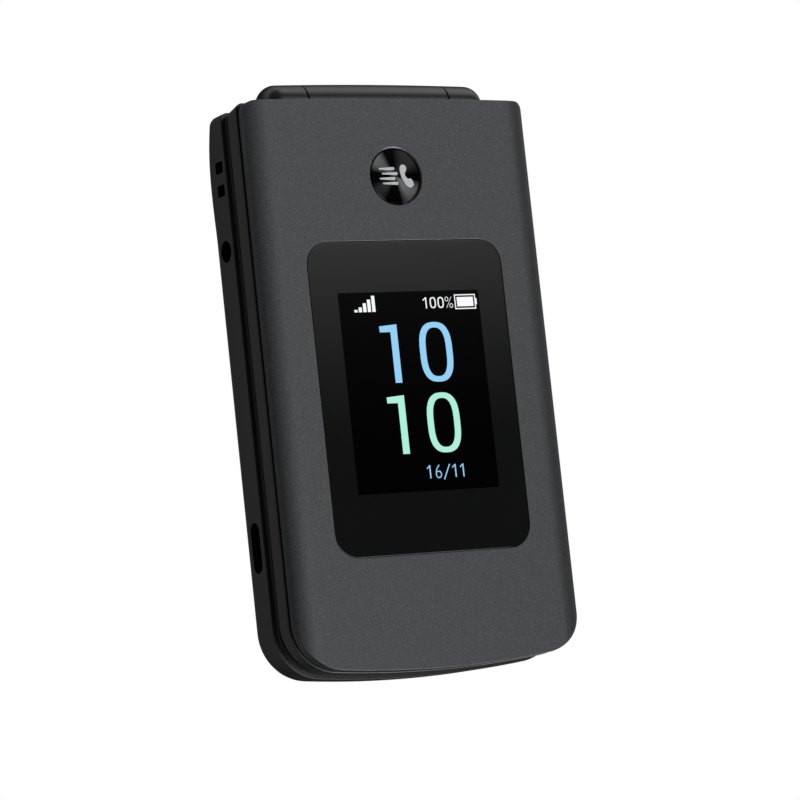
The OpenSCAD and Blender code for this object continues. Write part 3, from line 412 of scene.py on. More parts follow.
def grained(name, colour, rough, grain, metallic=0.0, specular=0.5, coat=0.0, anisotropic=0.0, vary=0.12,
            roughVary=0.08, bump=0.0, relief=0.02):
    # a finish whose colour and roughness vary with a fine noise, which can also stand up from the surface
    material = bpy.data.materials.new(name)
    material.use_nodes = True
    tree = material.node_tree
    surface = tree.nodes["Principled BSDF"]
    fine = shading(tree, "TexNoise", {"Vector": ownPlace(tree), "Scale": grain, "Detail": 3.0}).outputs["Fac"]
    shade = ramped(tree, fine, shades(colour, (0.3, 1 - vary), (0.7, 1 + vary)))
    wear = ranged(tree, fine, 0.0, 1.0, rough * (1 - roughVary), rough * (1 + roughVary))
    fed(tree, surface, {"Base Color": shade, "Roughness": wear, "Metallic": metallic, "Coat Weight": coat,
                        "Coat Roughness": 0.05, "Specular IOR Level": specular, "Anisotropic": anisotropic})
    if bump:
        raised = shading(tree, "Bump", {"Height": fine, "Strength": bump, "Distance": relief * mm})
        fed(tree, surface, {"Normal": raised.outputs["Normal"]})
    return material


def surfaceOf(material):
    return material.node_tree, material.node_tree.nodes["Principled BSDF"]


paintColour = (0.096, 0.1005, 0.105)
flakes = {"size": 0.14, "tones": ((0.0, 0.68), (0.2, 0.93), (0.94, 1.06), (1.0, 1.75))}


def coverPaint():
    # grey metallic paint with fine, sparse bright flakes
    material = grained("coverPaint", paintColour, 0.43, 900.0, metallic=0.85, vary=0.02, bump=0.1,
                       relief=0.005)
    tree, surface = surfaceOf(material)
    cells = shading(tree, "TexVoronoi", {"Vector": ownPlace(tree), "Scale": 1 / (flakes["size"] * mm)})
    tone = shading(tree, "SeparateColor", {"Color": cells.outputs["Color"]}).outputs["Red"]
    fed(tree, surface, {"Base Color": ramped(tree, tone, shades(paintColour, *flakes["tones"]))})
    return material


def lit(name, colour):
    # a lit mark of the display; its colour dims very slightly from dot to dot
    material = grained(name, (0.004, 0.004, 0.004), 0.3, 4000.0, specular=0.1)
    tree, surface = surfaceOf(material)
    dots = shading(tree, "TexNoise", {"Vector": ownPlace(tree), "Scale": 3000.0}).outputs["Fac"]
    glow = ramped(tree, dots, shades(colour, (0.0, 0.96), (1.0, 1.04)))
    fed(tree, surface, {"Emission Color": glow, "Emission Strength": 1.0})
    return material


spunColour = (0.17, 0.17, 0.174)
spunDark = 0.012
# the turned face's two broad painted highlights and two faint ones, wedge-shaped and painted into its colour:
# middle azimuth, half width, strength
paintedSpunHighlights = ((-143, 24, 0.18), (-46, 36, 0.94), (50, 42, 0.15), (141, 27, 0.64))


def spunMetal():
    # black metal turned on a lathe: its fine circular grooves gather the light into wedge-shaped streaks, and
    # painted highlights of the same shape are added to its colour round its middle
    material = grained("spunMetal", spunColour, 0.27, 300.0, metallic=1.0, vary=0.03, anisotropic=0.3,
                       roughVary=0.02)
    tree, surface = surfaceOf(material)
    around = shading(tree, "Tangent", direction_type="RADIAL", axis="Z")
    middle = (0, phone["keyY"] * mm, 0)
    centred = shading(tree, "VectorMath", {0: ownPlace(tree), 1: middle}, operation="SUBTRACT")
    turn = shading(tree, "TexGradient", {"Vector": centred.outputs[0]}, gradient_type="RADIAL")
    # painted highlights: the colour brightens inside each wedge-shaped span of azimuth round the key's middle
    # and falls back to plain black between them
    tones = [((azimuth + offset * half) / 360 + 0.5, share) for azimuth, half, strength in paintedSpunHighlights
             for offset, share in ((-1, spunDark), (-0.35, strength), (0.35, strength), (1, spunDark))]
    stops = shades(spunColour, (0.0, spunDark), *tones, (1.0, spunDark))
    paintedWedges = ramped(tree, turn.outputs["Fac"], stops)
    fed(tree, surface, {"Tangent": around.outputs["Tangent"], "Base Color": paintedWedges})
    return material


def speakerCloth(pitch):
    # fine black cloth behind an opening
    material = grained("speakerCloth", (0.006, 0.006, 0.006), 0.7, 2000.0)
    tree, surface = surfaceOf(material)
    threads = shading(tree, "TexWave", {"Vector": ownPlace(tree), "Scale": 0.3 / (pitch * mm)})
    raised = shading(tree, "Bump", {"Height": threads.outputs["Fac"], "Strength": 0.6, "Distance": 0.05 * mm})
    fed(tree, surface, {"Normal": raised.outputs["Normal"]})
    return material


finishes = {
    "cover": coverPaint(),
    "shell": grained("satinBlack", (0.0165, 0.0170, 0.0172), 0.3, 2600.0, bump=0.25, relief=0.008),
    "band": grained("bandBlack", (0.0072, 0.0074, 0.0076), 0.36, 2200.0, vary=0.15, bump=0.2, relief=0.01),
    # clear window printed black from behind: a smooth face with next to no colour of its own
    "glass": grained("glassBlack", (0.0035, 0.0037, 0.0042), 0.05, 60.0, vary=0.05, roughVary=0.03),
    "display": grained("displayBlack", (0.0004, 0.0004, 0.0004), 0.06, 200.0, specular=0.08, vary=0.05),
    "spun": spunMetal(),
    "icon": grained("brightMetal", (0.62, 0.63, 0.64), 0.34, 3000.0, metallic=1.0, vary=0.05),
    "key": grained("keyPlastic", (0.024, 0.0247, 0.026), 0.33, 1800.0, vary=0.1, bump=0.12, relief=0.008),
    "ring": grained("ringPlastic", (0.11, 0.112, 0.115), 0.3, 1500.0, metallic=0.7, vary=0.06),
    "print": grained("whitePrint", (0.72, 0.73, 0.74), 0.5, 1500.0, vary=0.04),
    "green": grained("greenPrint", (0.03, 0.42, 0.09), 0.45, 1500.0),
    "red": grained("redPrint", (0.52, 0.02, 0.018), 0.45, 1500.0),
    "rubber": grained("softRubber", (0.012, 0.012, 0.012), 0.8, 3000.0, bump=0.3),
    "steel": grained("brushedSteel", (0.42, 0.42, 0.43), 0.32, 1200.0, metallic=1.0, vary=0.08),
    "screw": grained("blackScrew", (0.05, 0.05, 0.052), 0.35, 1500.0, metallic=1.0),
    "gold": grained("goldContact", (0.72, 0.46, 0.16), 0.25, 1800.0, metallic=1.0, vary=0.05),
    "board": grained("greenBoard", (0.012, 0.10, 0.045), 0.4, 700.0, vary=0.3, coat=0.4),
    "module": grained("mouldedModule", (0.01, 0.01, 0.011), 0.5, 1600.0),
    "film": grained("amberFilm", (0.42, 0.16, 0.03), 0.35, 900.0, vary=0.1),
    "battery": grained("batteryWrap", (0.03, 0.033, 0.04), 0.42, 800.0),
    "flash": grained("flashLens", (0.78, 0.74, 0.55), 0.25, 2500.0, vary=0.1, coat=0.6),
    "lens": grained("lensGlass", (0.004, 0.005, 0.012), 0.03, 100.0, specular=0.8),
    "cloth": speakerCloth(0.12),
    # painted shade: near-black lining for the insides of the openings cut in the shell, standing in for the
    # shade in them
    "dark": grained("openingBlack", (0.0004, 0.0004, 0.0004), 0.9, 2000.0, specular=0.05),
    "numbersBlue": lit("litBlue", (0.287, 0.631, 0.913)),
    "numbersMint": lit("litMint", (0.413, 0.871, 0.701)),
    "numbersWhite": lit("litWhite", (0.93, 0.95, 0.96)),
}
print("finishes made:", len(finishes))


# lid: cover, frame, window and round key

coverSizes = {
    "inset": 0.25,          # from the side of the lid frame
    "hingeEndY": 49.8,
    "hingeCornerR": 2.2,
    "hingeBow": 2500.0,     # the hinge edge is a little convex
    "rollWidth": 4.6,
    "rollDrop": 2.5,
    "edgeR": (0.08, 0.18),  # rounding of its free end's edge and its hinge end's edge
    "land": 0.1,
    "landEase": 0.03,
    "skirtIn": 0.45,
    "skirtEndIn": 0.1,
    "skirtZ": 14.6,
    "wall": 1.2,
    "hollowBack": 0.35,
    "seat": (40.2, 56.6, 4.5),
    "seatZ": 16.95,
    "opening": (34.2, 47, 1.5),
    "openingZ": (15, 17.5),
    "keyHoleR": 5.23,
    "keyChamfer": 0.2,
}
coverHalf = phone["halfWidth"] - coverSizes["inset"]
coverFlat = coverHalf - coverSizes["rollWidth"]


def rollTilt(x):
    # how far round the rolled long edge a place is, from 0 on the flat to 1 at the side
    return min(max(abs(x) - coverFlat, 0) / coverSizes["rollWidth"], 1)


def rollHeight(x):
    return phone["faceZ"] - coverSizes["rollDrop"] * (1 - math.sqrt(1 - rollTilt(x) ** 2))


def rollUpright(x):
    # upward part of the roll's unit normal
    over = rollTilt(x)
    if over >= 1:
        return 0.0
    slope = coverSizes["rollDrop"] / coverSizes["rollWidth"] * over / math.sqrt(1 - over * over)
    return 1 / math.hypot(1, slope)


def coverEnd(x, far):
    # place and outward normal of the cover's outline at x: its free end, or its far (hinge) end
    s = coverSizes
    reach, side = abs(x), math.copysign(1, x)
    if far:
        radius, straightY = s["hingeCornerR"], s["hingeEndY"] - x * x / s["hingeBow"]
        over = reach - (coverHalf - radius)
        if over <= 0:
            return straightY, (0.0, 1.0)
        rise = math.sqrt(max(radius * radius - over * over, 0))
        return straightY - radius + rise, (side * over / radius, rise / radius)
    bow, corner = phone["endBow"], phone["cornerR"]
    cornerX, bowY, radius = phone["halfWidth"] - corner, phone["lidEnd"] + bow, bow - s["inset"]
    if reach <= cornerX * radius / (bow - corner):
        drop = math.sqrt(radius * radius - x * x)
        return bowY - drop, (x / radius, -drop / radius)
    cornerY = bowY - math.sqrt((bow - corner) ** 2 - cornerX ** 2)
    radius, over = corner - s["inset"], reach - cornerX
    drop = math.sqrt(max(radius * radius - over * over, 0))
    return cornerY - drop, (side * over / radius, -drop / radius)


def coverFace(bm):
    # grid over the cover's upper face, with both end edges rounded; returns the vertices of its border
    right = steps(0, 20, 8) + steps(20, coverFlat, 10)[1:]
    right += [coverFlat + coverSizes["rollWidth"] * math.sin(a) for a in steps(0, square, 28)[1:]]
    rows = []
    for x in [-x for x in reversed(right[1:])] + right:
        ends = []
        for far in (False, True):
            y, (nx, ny) = coverEnd(x, far)
            radius = coverSizes["edgeR"][far] * math.sqrt(rollUpright(x) * abs(ny))
            offsets = quarter(radius) + [(radius * 1.8, 0)]
            ends.append([(x - nx * d, y - ny * d, down) for d, down in offsets])
        near, over = ends
        (x0, y0, _), (x1, y1, _) = near[-1], over[-1]
        between = [(x0 + (x1 - x0) * t, y0 + (y1 - y0) * t, 0) for t in steps(0, 1, 8)[1:-1]]
        line = near + between + over[::-1]
        rows.append(vertices(bm, [(px, py, rollHeight(px) - down) for px, py, down in line]))
    for left, right in zip(rows, rows[1:]):
        for i in range(len(left) - 1):
            bm.faces.new((left[i], right[i], right[i + 1], left[i + 1]))
    return [row[0] for row in rows] + rows[-1][1:-1] + [row[-1] for row in reversed(rows)] + rows[0][-2:0:-1]


def coverBody():
    # the face's grid closed by the land, the step to the skirt and the skirt
    s = coverSizes
    bm = bmesh.new()
    border = coverFace(bm)
    footZ = phone["faceZ"] - s["rollDrop"] - s["land"]
    outline = []
    for vert in border:
        x, y = min(max(vert.co.x / mm, -coverHalf), coverHalf), vert.co.y / mm
        atSide = coverHalf - abs(x) < 1e-4
        endY, normal = (y, (math.copysign(1, x), 0.0)) if atSide else coverEnd(x, y > 0)
        outline.append((x, endY, *normal))

    def moved(sideIn, endIn, z):
        insets = [sideIn + (endIn - sideIn) * smooth(ny, 0.2, 0.95) for _, _, _, ny in outline]
        return vertices(bm, [(x - nx * d, y - ny * d, z) for (x, y, nx, ny), d in zip(outline, insets)])

    held = [bm.verts.new(v.co - Vector((0, 0, min(0.12 * mm, (v.co.z - footZ * mm) / 2)))) for v in border]
    ease = s["landEase"]
    rings = [border, held, moved(0, 0, footZ + ease), moved(ease, ease, footZ)]
    rings += [moved(s["skirtIn"], s["skirtEndIn"], z) for z in (footZ, s["skirtZ"])]
    bridged(bm, rings)
    bm.faces.new(rings[-1])
    return newPiece("coverShell", bm)


def coverHollow():
    s = coverSizes
    wall = s["inset"] + s["wall"]
    top = s["hingeEndY"] - s["hollowBack"] + s["inset"]
    rings = [atHeight(planRing(wall, phone["lidEnd"], top), s["skirtZ"] - 1)]
    for a in steps(square, 0, 8):
        inset = (s["rollWidth"] - s["wall"]) * (1 - math.sin(a))
        drop = (s["rollDrop"] - s["wall"]) * (1 - math.cos(a))
        ring = planRing(wall + inset, phone["lidEnd"], top)
        rings.append(atHeight(ring, phone["faceZ"] - s["wall"] - drop))
    return lofted("hollow", rings)


def makeCover():
    s = coverSizes
    face, middle = phone["faceZ"], (0, phone["windowY"])
    cover = cut(coverBody(), coverHollow())
    levels = ((0, s["seatZ"]), (0, face - 0.04), (0.08, face + 0.04))
    seat = lofted("seat", [atHeight(roundedRing(s["seat"], middle, grow), z) for grow, z in levels])
    cut(cover, seat, prism("opening", roundedRing(s["opening"], middle), s["openingZ"]))
    radius, chamfer, low, above = s["keyHoleR"], s["keyChamfer"], s["openingZ"][0], 0.1
    hole = [(0, low), (radius, low), (radius, face - chamfer), (radius + chamfer + above, face + above),
            (0, face + above)]
    cut(cover, lathed("hole", hole, (0, phone["keyY"], 0), count=128))
    return fitted(smoothed(cover), "cover", "lid", "cover", "lid_cover")


frameSizes = {
    "lowZ": 11.5,
    "lowEdge": ((0.16, 0), (0.04, 0.05), (0, 0.17)),
    "ledgeZ": 14.55,        # the cover sits on it
    "rimTopZ": 14.65,
    "rimWall": 0.2,
    "rimR": 0.17,
    "grooveZ": 13.95,
    "grooveIn": 0.7,
    "cavity": 1.9,
    "cavityTopY": 43.9,
    "endSlope": 0.65,
    "knuckleEdge": 0.12,
}


def barrelRadius(x):
    return phone["barrelR"] - phone["barrelCrown"] * (x / phone["barrelHalf"]) ** 2


def makeLidFrame():
    s = frameSizes
    top, low = s["rimTopZ"], s["lowZ"]
    end, far = phone["lidEnd"], phone["hingeY"] + 2

    def outer(inset, z):
        back = 0.1 + s["endSlope"] * (top - z) / (top - low)
        return atHeight(planRing(inset, end, phone["hingeY"] - back + inset * 0.6), z)

    rings = [outer(inset, low + up) for inset, up in s["lowEdge"]]
    rings += [outer(inset, top - down) for inset, down in quarter(s["rimR"])]
    body = lofted("lidFrame", rings)
    groove = [planRing(inset, end, far + inset - s["rimWall"]) for inset in (s["rimWall"], s["grooveIn"])]
    cut(body, plate("ledge", [planRing(s["rimWall"], end, far)], s["ledgeZ"], top + 1),
        plate("groove", [tuple(groove)], s["grooveZ"], top + 1),
        plate("cavity", [planRing(s["cavity"], end, s["cavityTopY"] + s["cavity"])], low - 1, top + 1))
    half, seam = phone["barrelHalf"] + 0.2, phone["seam"] - phone["seamGap"] / 2
    for start, stop in ((-half, -seam), (seam, half)):
        cut(body, drum("room", phone["barrelR"] + phone["barrelGap"], start, stop, hinge, "X"))
    edge = s["knuckleEdge"]
    ends = barrelRadius(seam) - edge
    crown = [(barrelRadius(x), x) for x in steps(-seam + edge, seam - edge, 12)]
    knuckle = [(0, -seam), (ends, -seam)] + crown + [(ends, seam), (0, seam)]
    joined(body, lathed("knuckle", knuckle, hinge, "X", 128), "UNION")
    return fitted(evened(body), "shell", "lid", "shell", "lid_frame")


windowSizes = {"size": (40.0, 56.4, 4.4), "lowZ": 17.0, "topZ": 17.77, "edge": 0.1}


def makeWindow():
    s = windowSizes
    edge, top = s["edge"], s["topZ"]
    levels = ((0, s["lowZ"]), (0, top - edge), (edge * 0.3, top - edge * 0.3), (edge, top))
    rings = [atHeight(roundedRing(s["size"], (0, phone["windowY"]), -inset, 12), z) for inset, z in levels]
    fitted(evened(lofted("frontWindow", rings), 40), "glass", "lid", "window", "outer_window")


# what the outer display shows, in millimetres on the window
displaySizes = {
    "area": (-14.55, -21.6, 14.5, 14.48),
    "areaZ": (17.74, 17.776),
    "marksZ": (17.76, 17.797),
    "hourY": (-2.05, 8.8),
    "minuteDrop": 12.8,
    "oneFlag": -6.82,
    "oneStem": (-4.62, -3.25),
    "zero": (1.05, 7.8),
    "stroke": (1.27, 1.0),
    "dateY": (-19.35, -17.0),
    "dateOnes": ((-0.12, 0.62), (5.12, 5.88), (6.75, 7.5)),
    "dateSix": (1.6, -19.4, 2.85, -16.97),
    "dateSlash": (3.15, -19.65, 4.75, -16.95),
    "chargeY": (11.3, 13.32),
    "chargeOne": (2.72, 3.5),
    "chargeZeros": ((4.15, 5.42), (5.78, 7.05)),
    "chargeSign": (7.35, 11.28, 8.95, 13.32),
    "smallStroke": (0.24, 0.22),
    "bars": (-11.5, 10.95, -6.9, 13.85),
    "barHeights": (0.15, 0.3, 0.55, 0.77, 1.0),
    "battery": (9.35, 11.0, 13.75, 13.7),
}


def roundZero(x0, y0, x1, y1, stroke):
    # a zero as a pair of rounded loops
    def loop(insetX, insetY):
        cx, cy = (x0 + x1) / 2, (y0 + y1) / 2
        a, b = (x1 - x0) / 2 - insetX, (y1 - y0) / 2 - insetY
        turns = [(math.cos(t), math.sin(t)) for t in steps(0, 2 * math.pi, 64)[:-1]]
        return [(cx + a * math.copysign(abs(c) ** 0.8, c), cy + b * math.copysign(abs(n) ** 0.66, n))
                for c, n in turns]
    return (loop(0, 0), loop(*stroke))


def plainOne(y0, y1):
    (stemLeft, stemRight), flag = displaySizes["oneStem"], displaySizes["oneFlag"]
    return [(stemLeft, y0 + 0.1), (stemRight, y0 + 0.1), (stemRight, y1 - 0.2), (flag, y1 - 0.5),
            (flag + 0.05, y1 - 1.58), (stemLeft, y1 - 1.58)]


def smallOne(x0, x1, y0, y1, stroke):
    drop = (y1 - y0) * 0.2
    return [(x1 - stroke, y0), (x1, y0), (x1, y1), (x1 - stroke * 0.8, y1), (x0, y1 - drop),
            (x0, y1 - drop - stroke), (x1 - stroke, y1 - stroke * 1.25)]


def cellSign(x0, y0, x1, y1, line, gap, knob):
    # a battery seen from the side: its case, its charge and perhaps its knob
    case = (bar(x0, y0, x1, y1), bar(x0 + line, y0 + line, x1 - line, y1 - line))
    end = [bar(x1, y0 + 0.8, x1 + knob, y1 - 0.8)] if knob else []
    return [case, bar(x0 + gap, y0 + gap, x1 - gap, y1 - gap)] + end


def makeDisplay():
    s = displaySizes
    x0, y0, x1, y1 = s["area"]
    ring = roundedRing((x1 - x0, y1 - y0, 0.3), ((x0 + x1) / 2, (y0 + y1) / 2))
    fitted(smoothed(prism("displayPanel", ring, s["areaZ"])), "display", "lid", "display")

    def shown(name, outlines, finish):
        marked(name, outlines, s["marksZ"], finish, "lid", "display")

    left, right = s["zero"]
    for name, drop, colour in (("hour", 0, "Blue"), ("minute", s["minuteDrop"], "Mint")):
        bottom, top = (y - drop for y in s["hourY"])
        outlines = [plainOne(bottom, top), roundZero(left, bottom, right, top, s["stroke"])]
        shown(name + "Figures", outlines, "numbers" + colour)
    line = s["smallStroke"][0]
    x0, y0, x1, y1 = s["dateSlash"]
    slash = [(x0, y0), (x0 + line, y0), (x1, y1), (x1 - line, y1)]
    ones = [smallOne(*reach, *s["dateY"], line) for reach in s["dateOnes"]]
    shown("dateOnes", ones + [slash], "numbersBlue")
    six = glyphs("dateSix", "6", s["dateSix"], s["marksZ"], thin=0.02)
    fitted(six, "numbersBlue", "lid", "display")
    bottom, top = s["chargeY"]
    zeros = [roundZero(left, bottom, right, top, s["smallStroke"]) for left, right in s["chargeZeros"]]
    shown("chargeFigures", zeros + [smallOne(*s["chargeOne"], bottom, top, line)], "numbersWhite")
    percent = glyphs("chargeSign", "%", s["chargeSign"], s["marksZ"], thin=0.018)
    fitted(percent, "numbersWhite", "lid", "display")
    x0, y0, x1, y1 = s["bars"]
    pitch = (x1 - x0) / len(s["barHeights"])
    bars = [bar(x0 + i * pitch, y0, x0 + (i + 0.7) * pitch, y0 + (y1 - y0) * height)
            for i, height in enumerate(s["barHeights"])]
    shown("statusMarks", bars + cellSign(*s["battery"], 0.2, 0.5, 0.25), "numbersWhite")


roundKey = {
    "radius": 5.08,
    "faceZ": 17.6,
    "edge": 0.12,
    "dish": 0.05,
    "flangeR": 5.78,
    "flangeZ": (16.25, 16.55),
    "stemR": 1.3,
    "stemZ": 15.45,
    "iconZ": (17.53, 17.66),
    "bars": ((-3.37, 36.93), (-2.8, 36.02), (-3.33, 35.12), (-2.82, 34.24)),
    "barLength": 3.28,
    "barWidths": (0.24, 0.6),
    "handset": ((1.69, 37.66), (2.12, 37.53), (2.35, 37.16), (2.33, 36.65), (2.14, 36.29), (1.99, 36.03),
                (2.0, 35.74), (2.14, 35.41), (2.4, 35.14), (2.7, 35.07), (3.02, 35.11), (3.26, 34.95),
                (3.5, 34.58), (3.6, 34.07), (3.48, 33.75), (3.19, 33.54), (2.77, 33.48), (2.42, 33.61),
                (1.99, 33.95), (1.59, 34.46), (1.29, 35.01), (1.1, 35.56), (1.01, 36.11), (0.92, 36.66),
                (1.01, 37.21), (1.29, 37.58)),
}


def roundBar(x, y, length, widths, count=6):
    # a bar with round ends of two widths, left and right; count is the right end's
    small, large = widths[0] / 2, widths[1] / 2
    lean = math.asin((large - small) / (length - small - large))
    return (arc(x + length - large, y, large, -lean, math.pi + lean, count)
            + arc(x + small, y, small, math.pi + lean, 2 * math.pi - lean, 6))


def rounded(points, count=4):
    # smooth closed curve through the points
    ring = []
    for i in range(len(points)):
        a, b, c, d = (Vector(points[(i + k) % len(points)]) for k in (-1, 0, 1, 2))
        for t in steps(0, 1, count)[:-1]:
            second, third = 2 * a - 5 * b + 4 * c - d, 3 * b - 3 * c + d - a
            ring.append(0.5 * (2 * b + (c - a) * t + second * t * t + third * t ** 3))
    return [tuple(p) for p in ring]


def makeRoundKey():
    s = roundKey
    r, z, edge = s["radius"], s["faceZ"], s["edge"]
    low, high = s["flangeZ"]
    profile = [(0, z - s["dish"]), (r * 0.5, z - s["dish"] * 0.75), (r - edge * 2.5, z),
               (r - edge, z - edge * 0.15), (r - edge * 0.3, z - edge * 0.5), (r, z - edge * 1.2), (r, high),
               (s["flangeR"], high), (s["flangeR"], low), (s["stemR"], low), (s["stemR"], s["stemZ"]),
               (0, s["stemZ"])]
    key = lathed("roundKey", profile, (0, phone["keyY"], 0), count=160)
    fitted(smoothed(key), "spun", "quick_key", "spun", "quick_call_key")
    marks = [roundBar(x, y, s["barLength"], s["barWidths"], 8) for x, y in s["bars"]]
    icon = plate("roundKeyIcon", marks + [rounded(s["handset"])], *s["iconZ"])
    fitted(bevelled(icon, 0.05), "icon", "quick_key", "spun")


makeCover()
makeLidFrame()
makeWindow()
makeDisplay()
makeRoundKey()
print("lid made")


# inside of the lid

innerScreen = {
    "lens": (51.0, 74.0, 2.9),
    "lensY": -4.95,
    "lensZ": (10.16, 10.85),
    "edge": 0.1,
    "picture": (43.2, 57.6, 0.4),
    "pictureZ": (10.153, 10.2),
    "colours": ((0.0, (0.02, 0.09, 0.22)), (0.55, (0.03, 0.26, 0.42)), (1.0, (0.015, 0.2, 0.24))),
    "marksZ": (10.15, 10.18),
    "figures": (-13, -22.45, 13, -13.45),
    "softX": (-19.5, -3.25, 13),
    "softY": 21.25,
    "softSize": (6.5, (0.9, 0.9)),
    "rule": (-13, -10.55, 13, -10.4),
    "signalX": -19.6,
    "signalY": (-31.55, -31.95),
    "signalPitch": 0.9,
    "cell": (15.6, -33.25, 19.2, -31.55),
}


def screenPicture():
    # plain picture on the lit panel: one colour running into another
    s = innerScreen
    material = grained("screenPicture", (0.004, 0.004, 0.004), 0.12, 500.0)
    tree, surface = surfaceOf(material)
    along = shading(tree, "SeparateXYZ", {"Vector": ownPlace(tree)}).outputs["Y"]
    low, high = ((s["lensY"] + side * s["picture"][1] / 2) * mm for side in (-1, 1))
    picture = ramped(tree, ranged(tree, along, low, high, 0.0, 1.0), s["colours"])
    fed(tree, surface, {"Emission Color": picture, "Emission Strength": 0.9})
    return material


def makeInnerScreen():
    s = innerScreen
    y, edge = s["lensY"], s["edge"]
    low, high = s["lensZ"]
    levels = ((edge, low), (edge * 0.3, low + edge * 0.3), (0, low + edge), (0, high))
    rings = [atHeight(roundedRing(s["lens"], (0, y), -inset), z) for inset, z in levels]
    fitted(evened(lofted("innerLens", rings), 40), "glass", "lid", "window", "inner_lens")
    finishes["picture"] = screenPicture()
    picture = prism("screenPicture", roundedRing(s["picture"], (0, y)), s["pictureZ"])
    fitted(smoothed(picture), "picture", "lid", "display")
    clock = glyphs("screenFigures", "10:10", s["figures"], s["marksZ"], flip=True)
    fitted(clock, "numbersWhite", "lid", "display")
    marks = [roundBar(x, s["softY"], *s["softSize"]) for x in s["softX"]]
    base, tip = s["signalY"]
    for i in range(4):
        x = s["signalX"] + i * s["signalPitch"]
        marks.append(bar(x, base, x + s["signalPitch"] / 1.5, tip - s["signalPitch"] / 2 * i))
    marks += cellSign(*s["cell"], 0.2, 0.35, 0) + [bar(*s["rule"])]
    marked("screenMarks", marks, s["marksZ"], "numbersWhite", "lid", "display")


makeInnerScreen()
dressed("lid_inner_housing", "lidInnerPanel", "band", "lid", "band", 0.14)
dressed("lid_bumpers", "lidFeet", "rubber", "lid", "bumper", 0.1, 3)
print("inside of the lid made")


# base: shell, knuckles and openings

baseSizes = {
    "topZ": 8.6,
    "sideR": 3.6,           # rounding of the rear edges
    "hingeEndR": 1.5,
    "hingeEndBlend": (26, 46),  # where one rounding turns into the other
    "curveY": 28.55,        # the rear face curves up from here
    "curveR": 60.0,
    "hingeEndY": 49.1,
    "wall": 1.5,
    "floorZ": 2.1,
    "cavityTopY": 43.7,
    "lip": 0.14,
}

ports = {
    "depth": 1.9,
    "flare": 0.15,
    "flareReach": 0.1,
    "usbPlace": (-28.8, 5.75),
    "usb": (8.9, 3.1, 1.54),
    "jackPlace": (24.4, 5.75),
    "jackR": 1.88,
    "strapPlaces": ((35.35, 6.25), (39.55, 6.25)),
    "strap": (2.0, 2.65, 0.35),
    "strapDepth": 2.3,
    "strapFlare": 0.12,
    "volumePlace": (21.95, 6.0),
    "volume": (18.3, 3.3, 1.64),
}

rear = {
    "cameraY": 28.05,
    "cameraR": 4.5,
    "flashX": -8.6,
    "flashR": 1.7,
    "seatZ": 0.8,
    "speakerX": 14.5,
    "speakerPitch": 1.9,
    "slot": (9.0, 1.0, 0.49),
    "screws": ((-21.4, 41.45), (21.4, 41.45)),
    "screwR": 1.3,
    "doorY": 15.25,
    "doorIn": 4.3,
    "doorGap": 0.1,
    "doorSeatZ": 1.25,
    "bay": (-20.2, -43.15, 20.2, 14.15),
    "bayZ": 5.3,
    "pocket": (-24, 17, 24, 36),
    "pocketZ": (1.3, 8),
    "windowEdge": ((0.25, -1), (0.25, -0.1), (0, 0.12)),
    "windowLedge": 0.6,
    "throughZ": 2.5,
    "slotLevels": ((0.25, -0.12), (0, 0.13), (0, 2.6)),
    "wellDepth": 1.3,
    "scoopR": 9.0,
    "scoopDepth": 0.55,
}


def rearRise(y):
    reach = max(y - baseSizes["curveY"], 0)
    return baseSizes["curveR"] - math.sqrt(baseSizes["curveR"] ** 2 - reach * reach)


def rearRing(angle):
    # one line of the rounded rear edge, from 0 at the rear face to 90 at the side
    s = baseSizes
    out, up = 1 - math.sin(math.radians(angle)), 1 - math.cos(math.radians(angle))
    wide, tight = (planRing(s[radius] * out, phone["baseEnd"], s["hingeEndY"])
                   for radius in ("sideR", "hingeEndR"))
    ring = []
    for (xw, yw), (xt, yt) in zip(wide, tight):
        share = smooth(yt, *s["hingeEndBlend"])
        x, y = xw + (xt - xw) * share, yw + (yt - yw) * share
        radius = s["sideR"] + (s["hingeEndR"] - s["sideR"]) * share
        ring.append((x, y, rearRise(y) + radius * up))
    return ring


def sideSlot(shell, name, rings, side, depth, finish="dark"):
    # an opening in a side wall, a little wider at the surface and lined with its own finish, near-black
    # painted shade unless another is given
    (ring, outer), reach = rings, ports["flareReach"]
    levels = ((ring, depth), (ring, reach), (outer, -reach))
    cutter = lofted(name, [[(side * (phone["halfWidth"] - inward), py, pz) for py, pz in loop]
                           for loop, inward in levels])
    cut(shell, lined(cutter, finish))


def cutPorts(shell):
    p = ports
    flares, depth = (0, p["flare"]), p["depth"]
    usb = [roundedRing(p["usb"], p["usbPlace"], grow, 12) for grow in flares]
    sideSlot(shell, "usb", usb, -1, depth)
    jack = [circleRing(p["jackR"] + grow, p["jackPlace"]) for grow in flares]
    sideSlot(shell, "jack", jack, -1, depth)
    for place in p["strapPlaces"]:
        hole = [roundedRing(p["strap"], place, grow) for grow in (0, p["strapFlare"])]
        sideSlot(shell, "strap", hole, -1, p["strapDepth"])
    volume = [roundedRing(p["volume"], p["volumePlace"], grow, 12) for grow in flares]
    sideSlot(shell, "volume", volume, 1, depth, "shell")


def doorRing(inset):
    # plan of the battery cover: the outline moved in, and cut straight across
    ring = planRing(rear["doorIn"] + inset, phone["baseEnd"], phone["hingeY"])
    return [(x, min(y, rear["doorY"] - inset)) for x, y in ring]


def scoop():
    # hollow for a fingernail where the battery cover meets the shell
    r, depth = rear["scoopR"], rear["scoopDepth"]
    profile = [(r * math.sin(a), depth - r + r * math.cos(a)) for a in steps(0, math.pi, 48)]
    return lathed("scoop", profile, (0, rear["doorY"], 0), count=128)


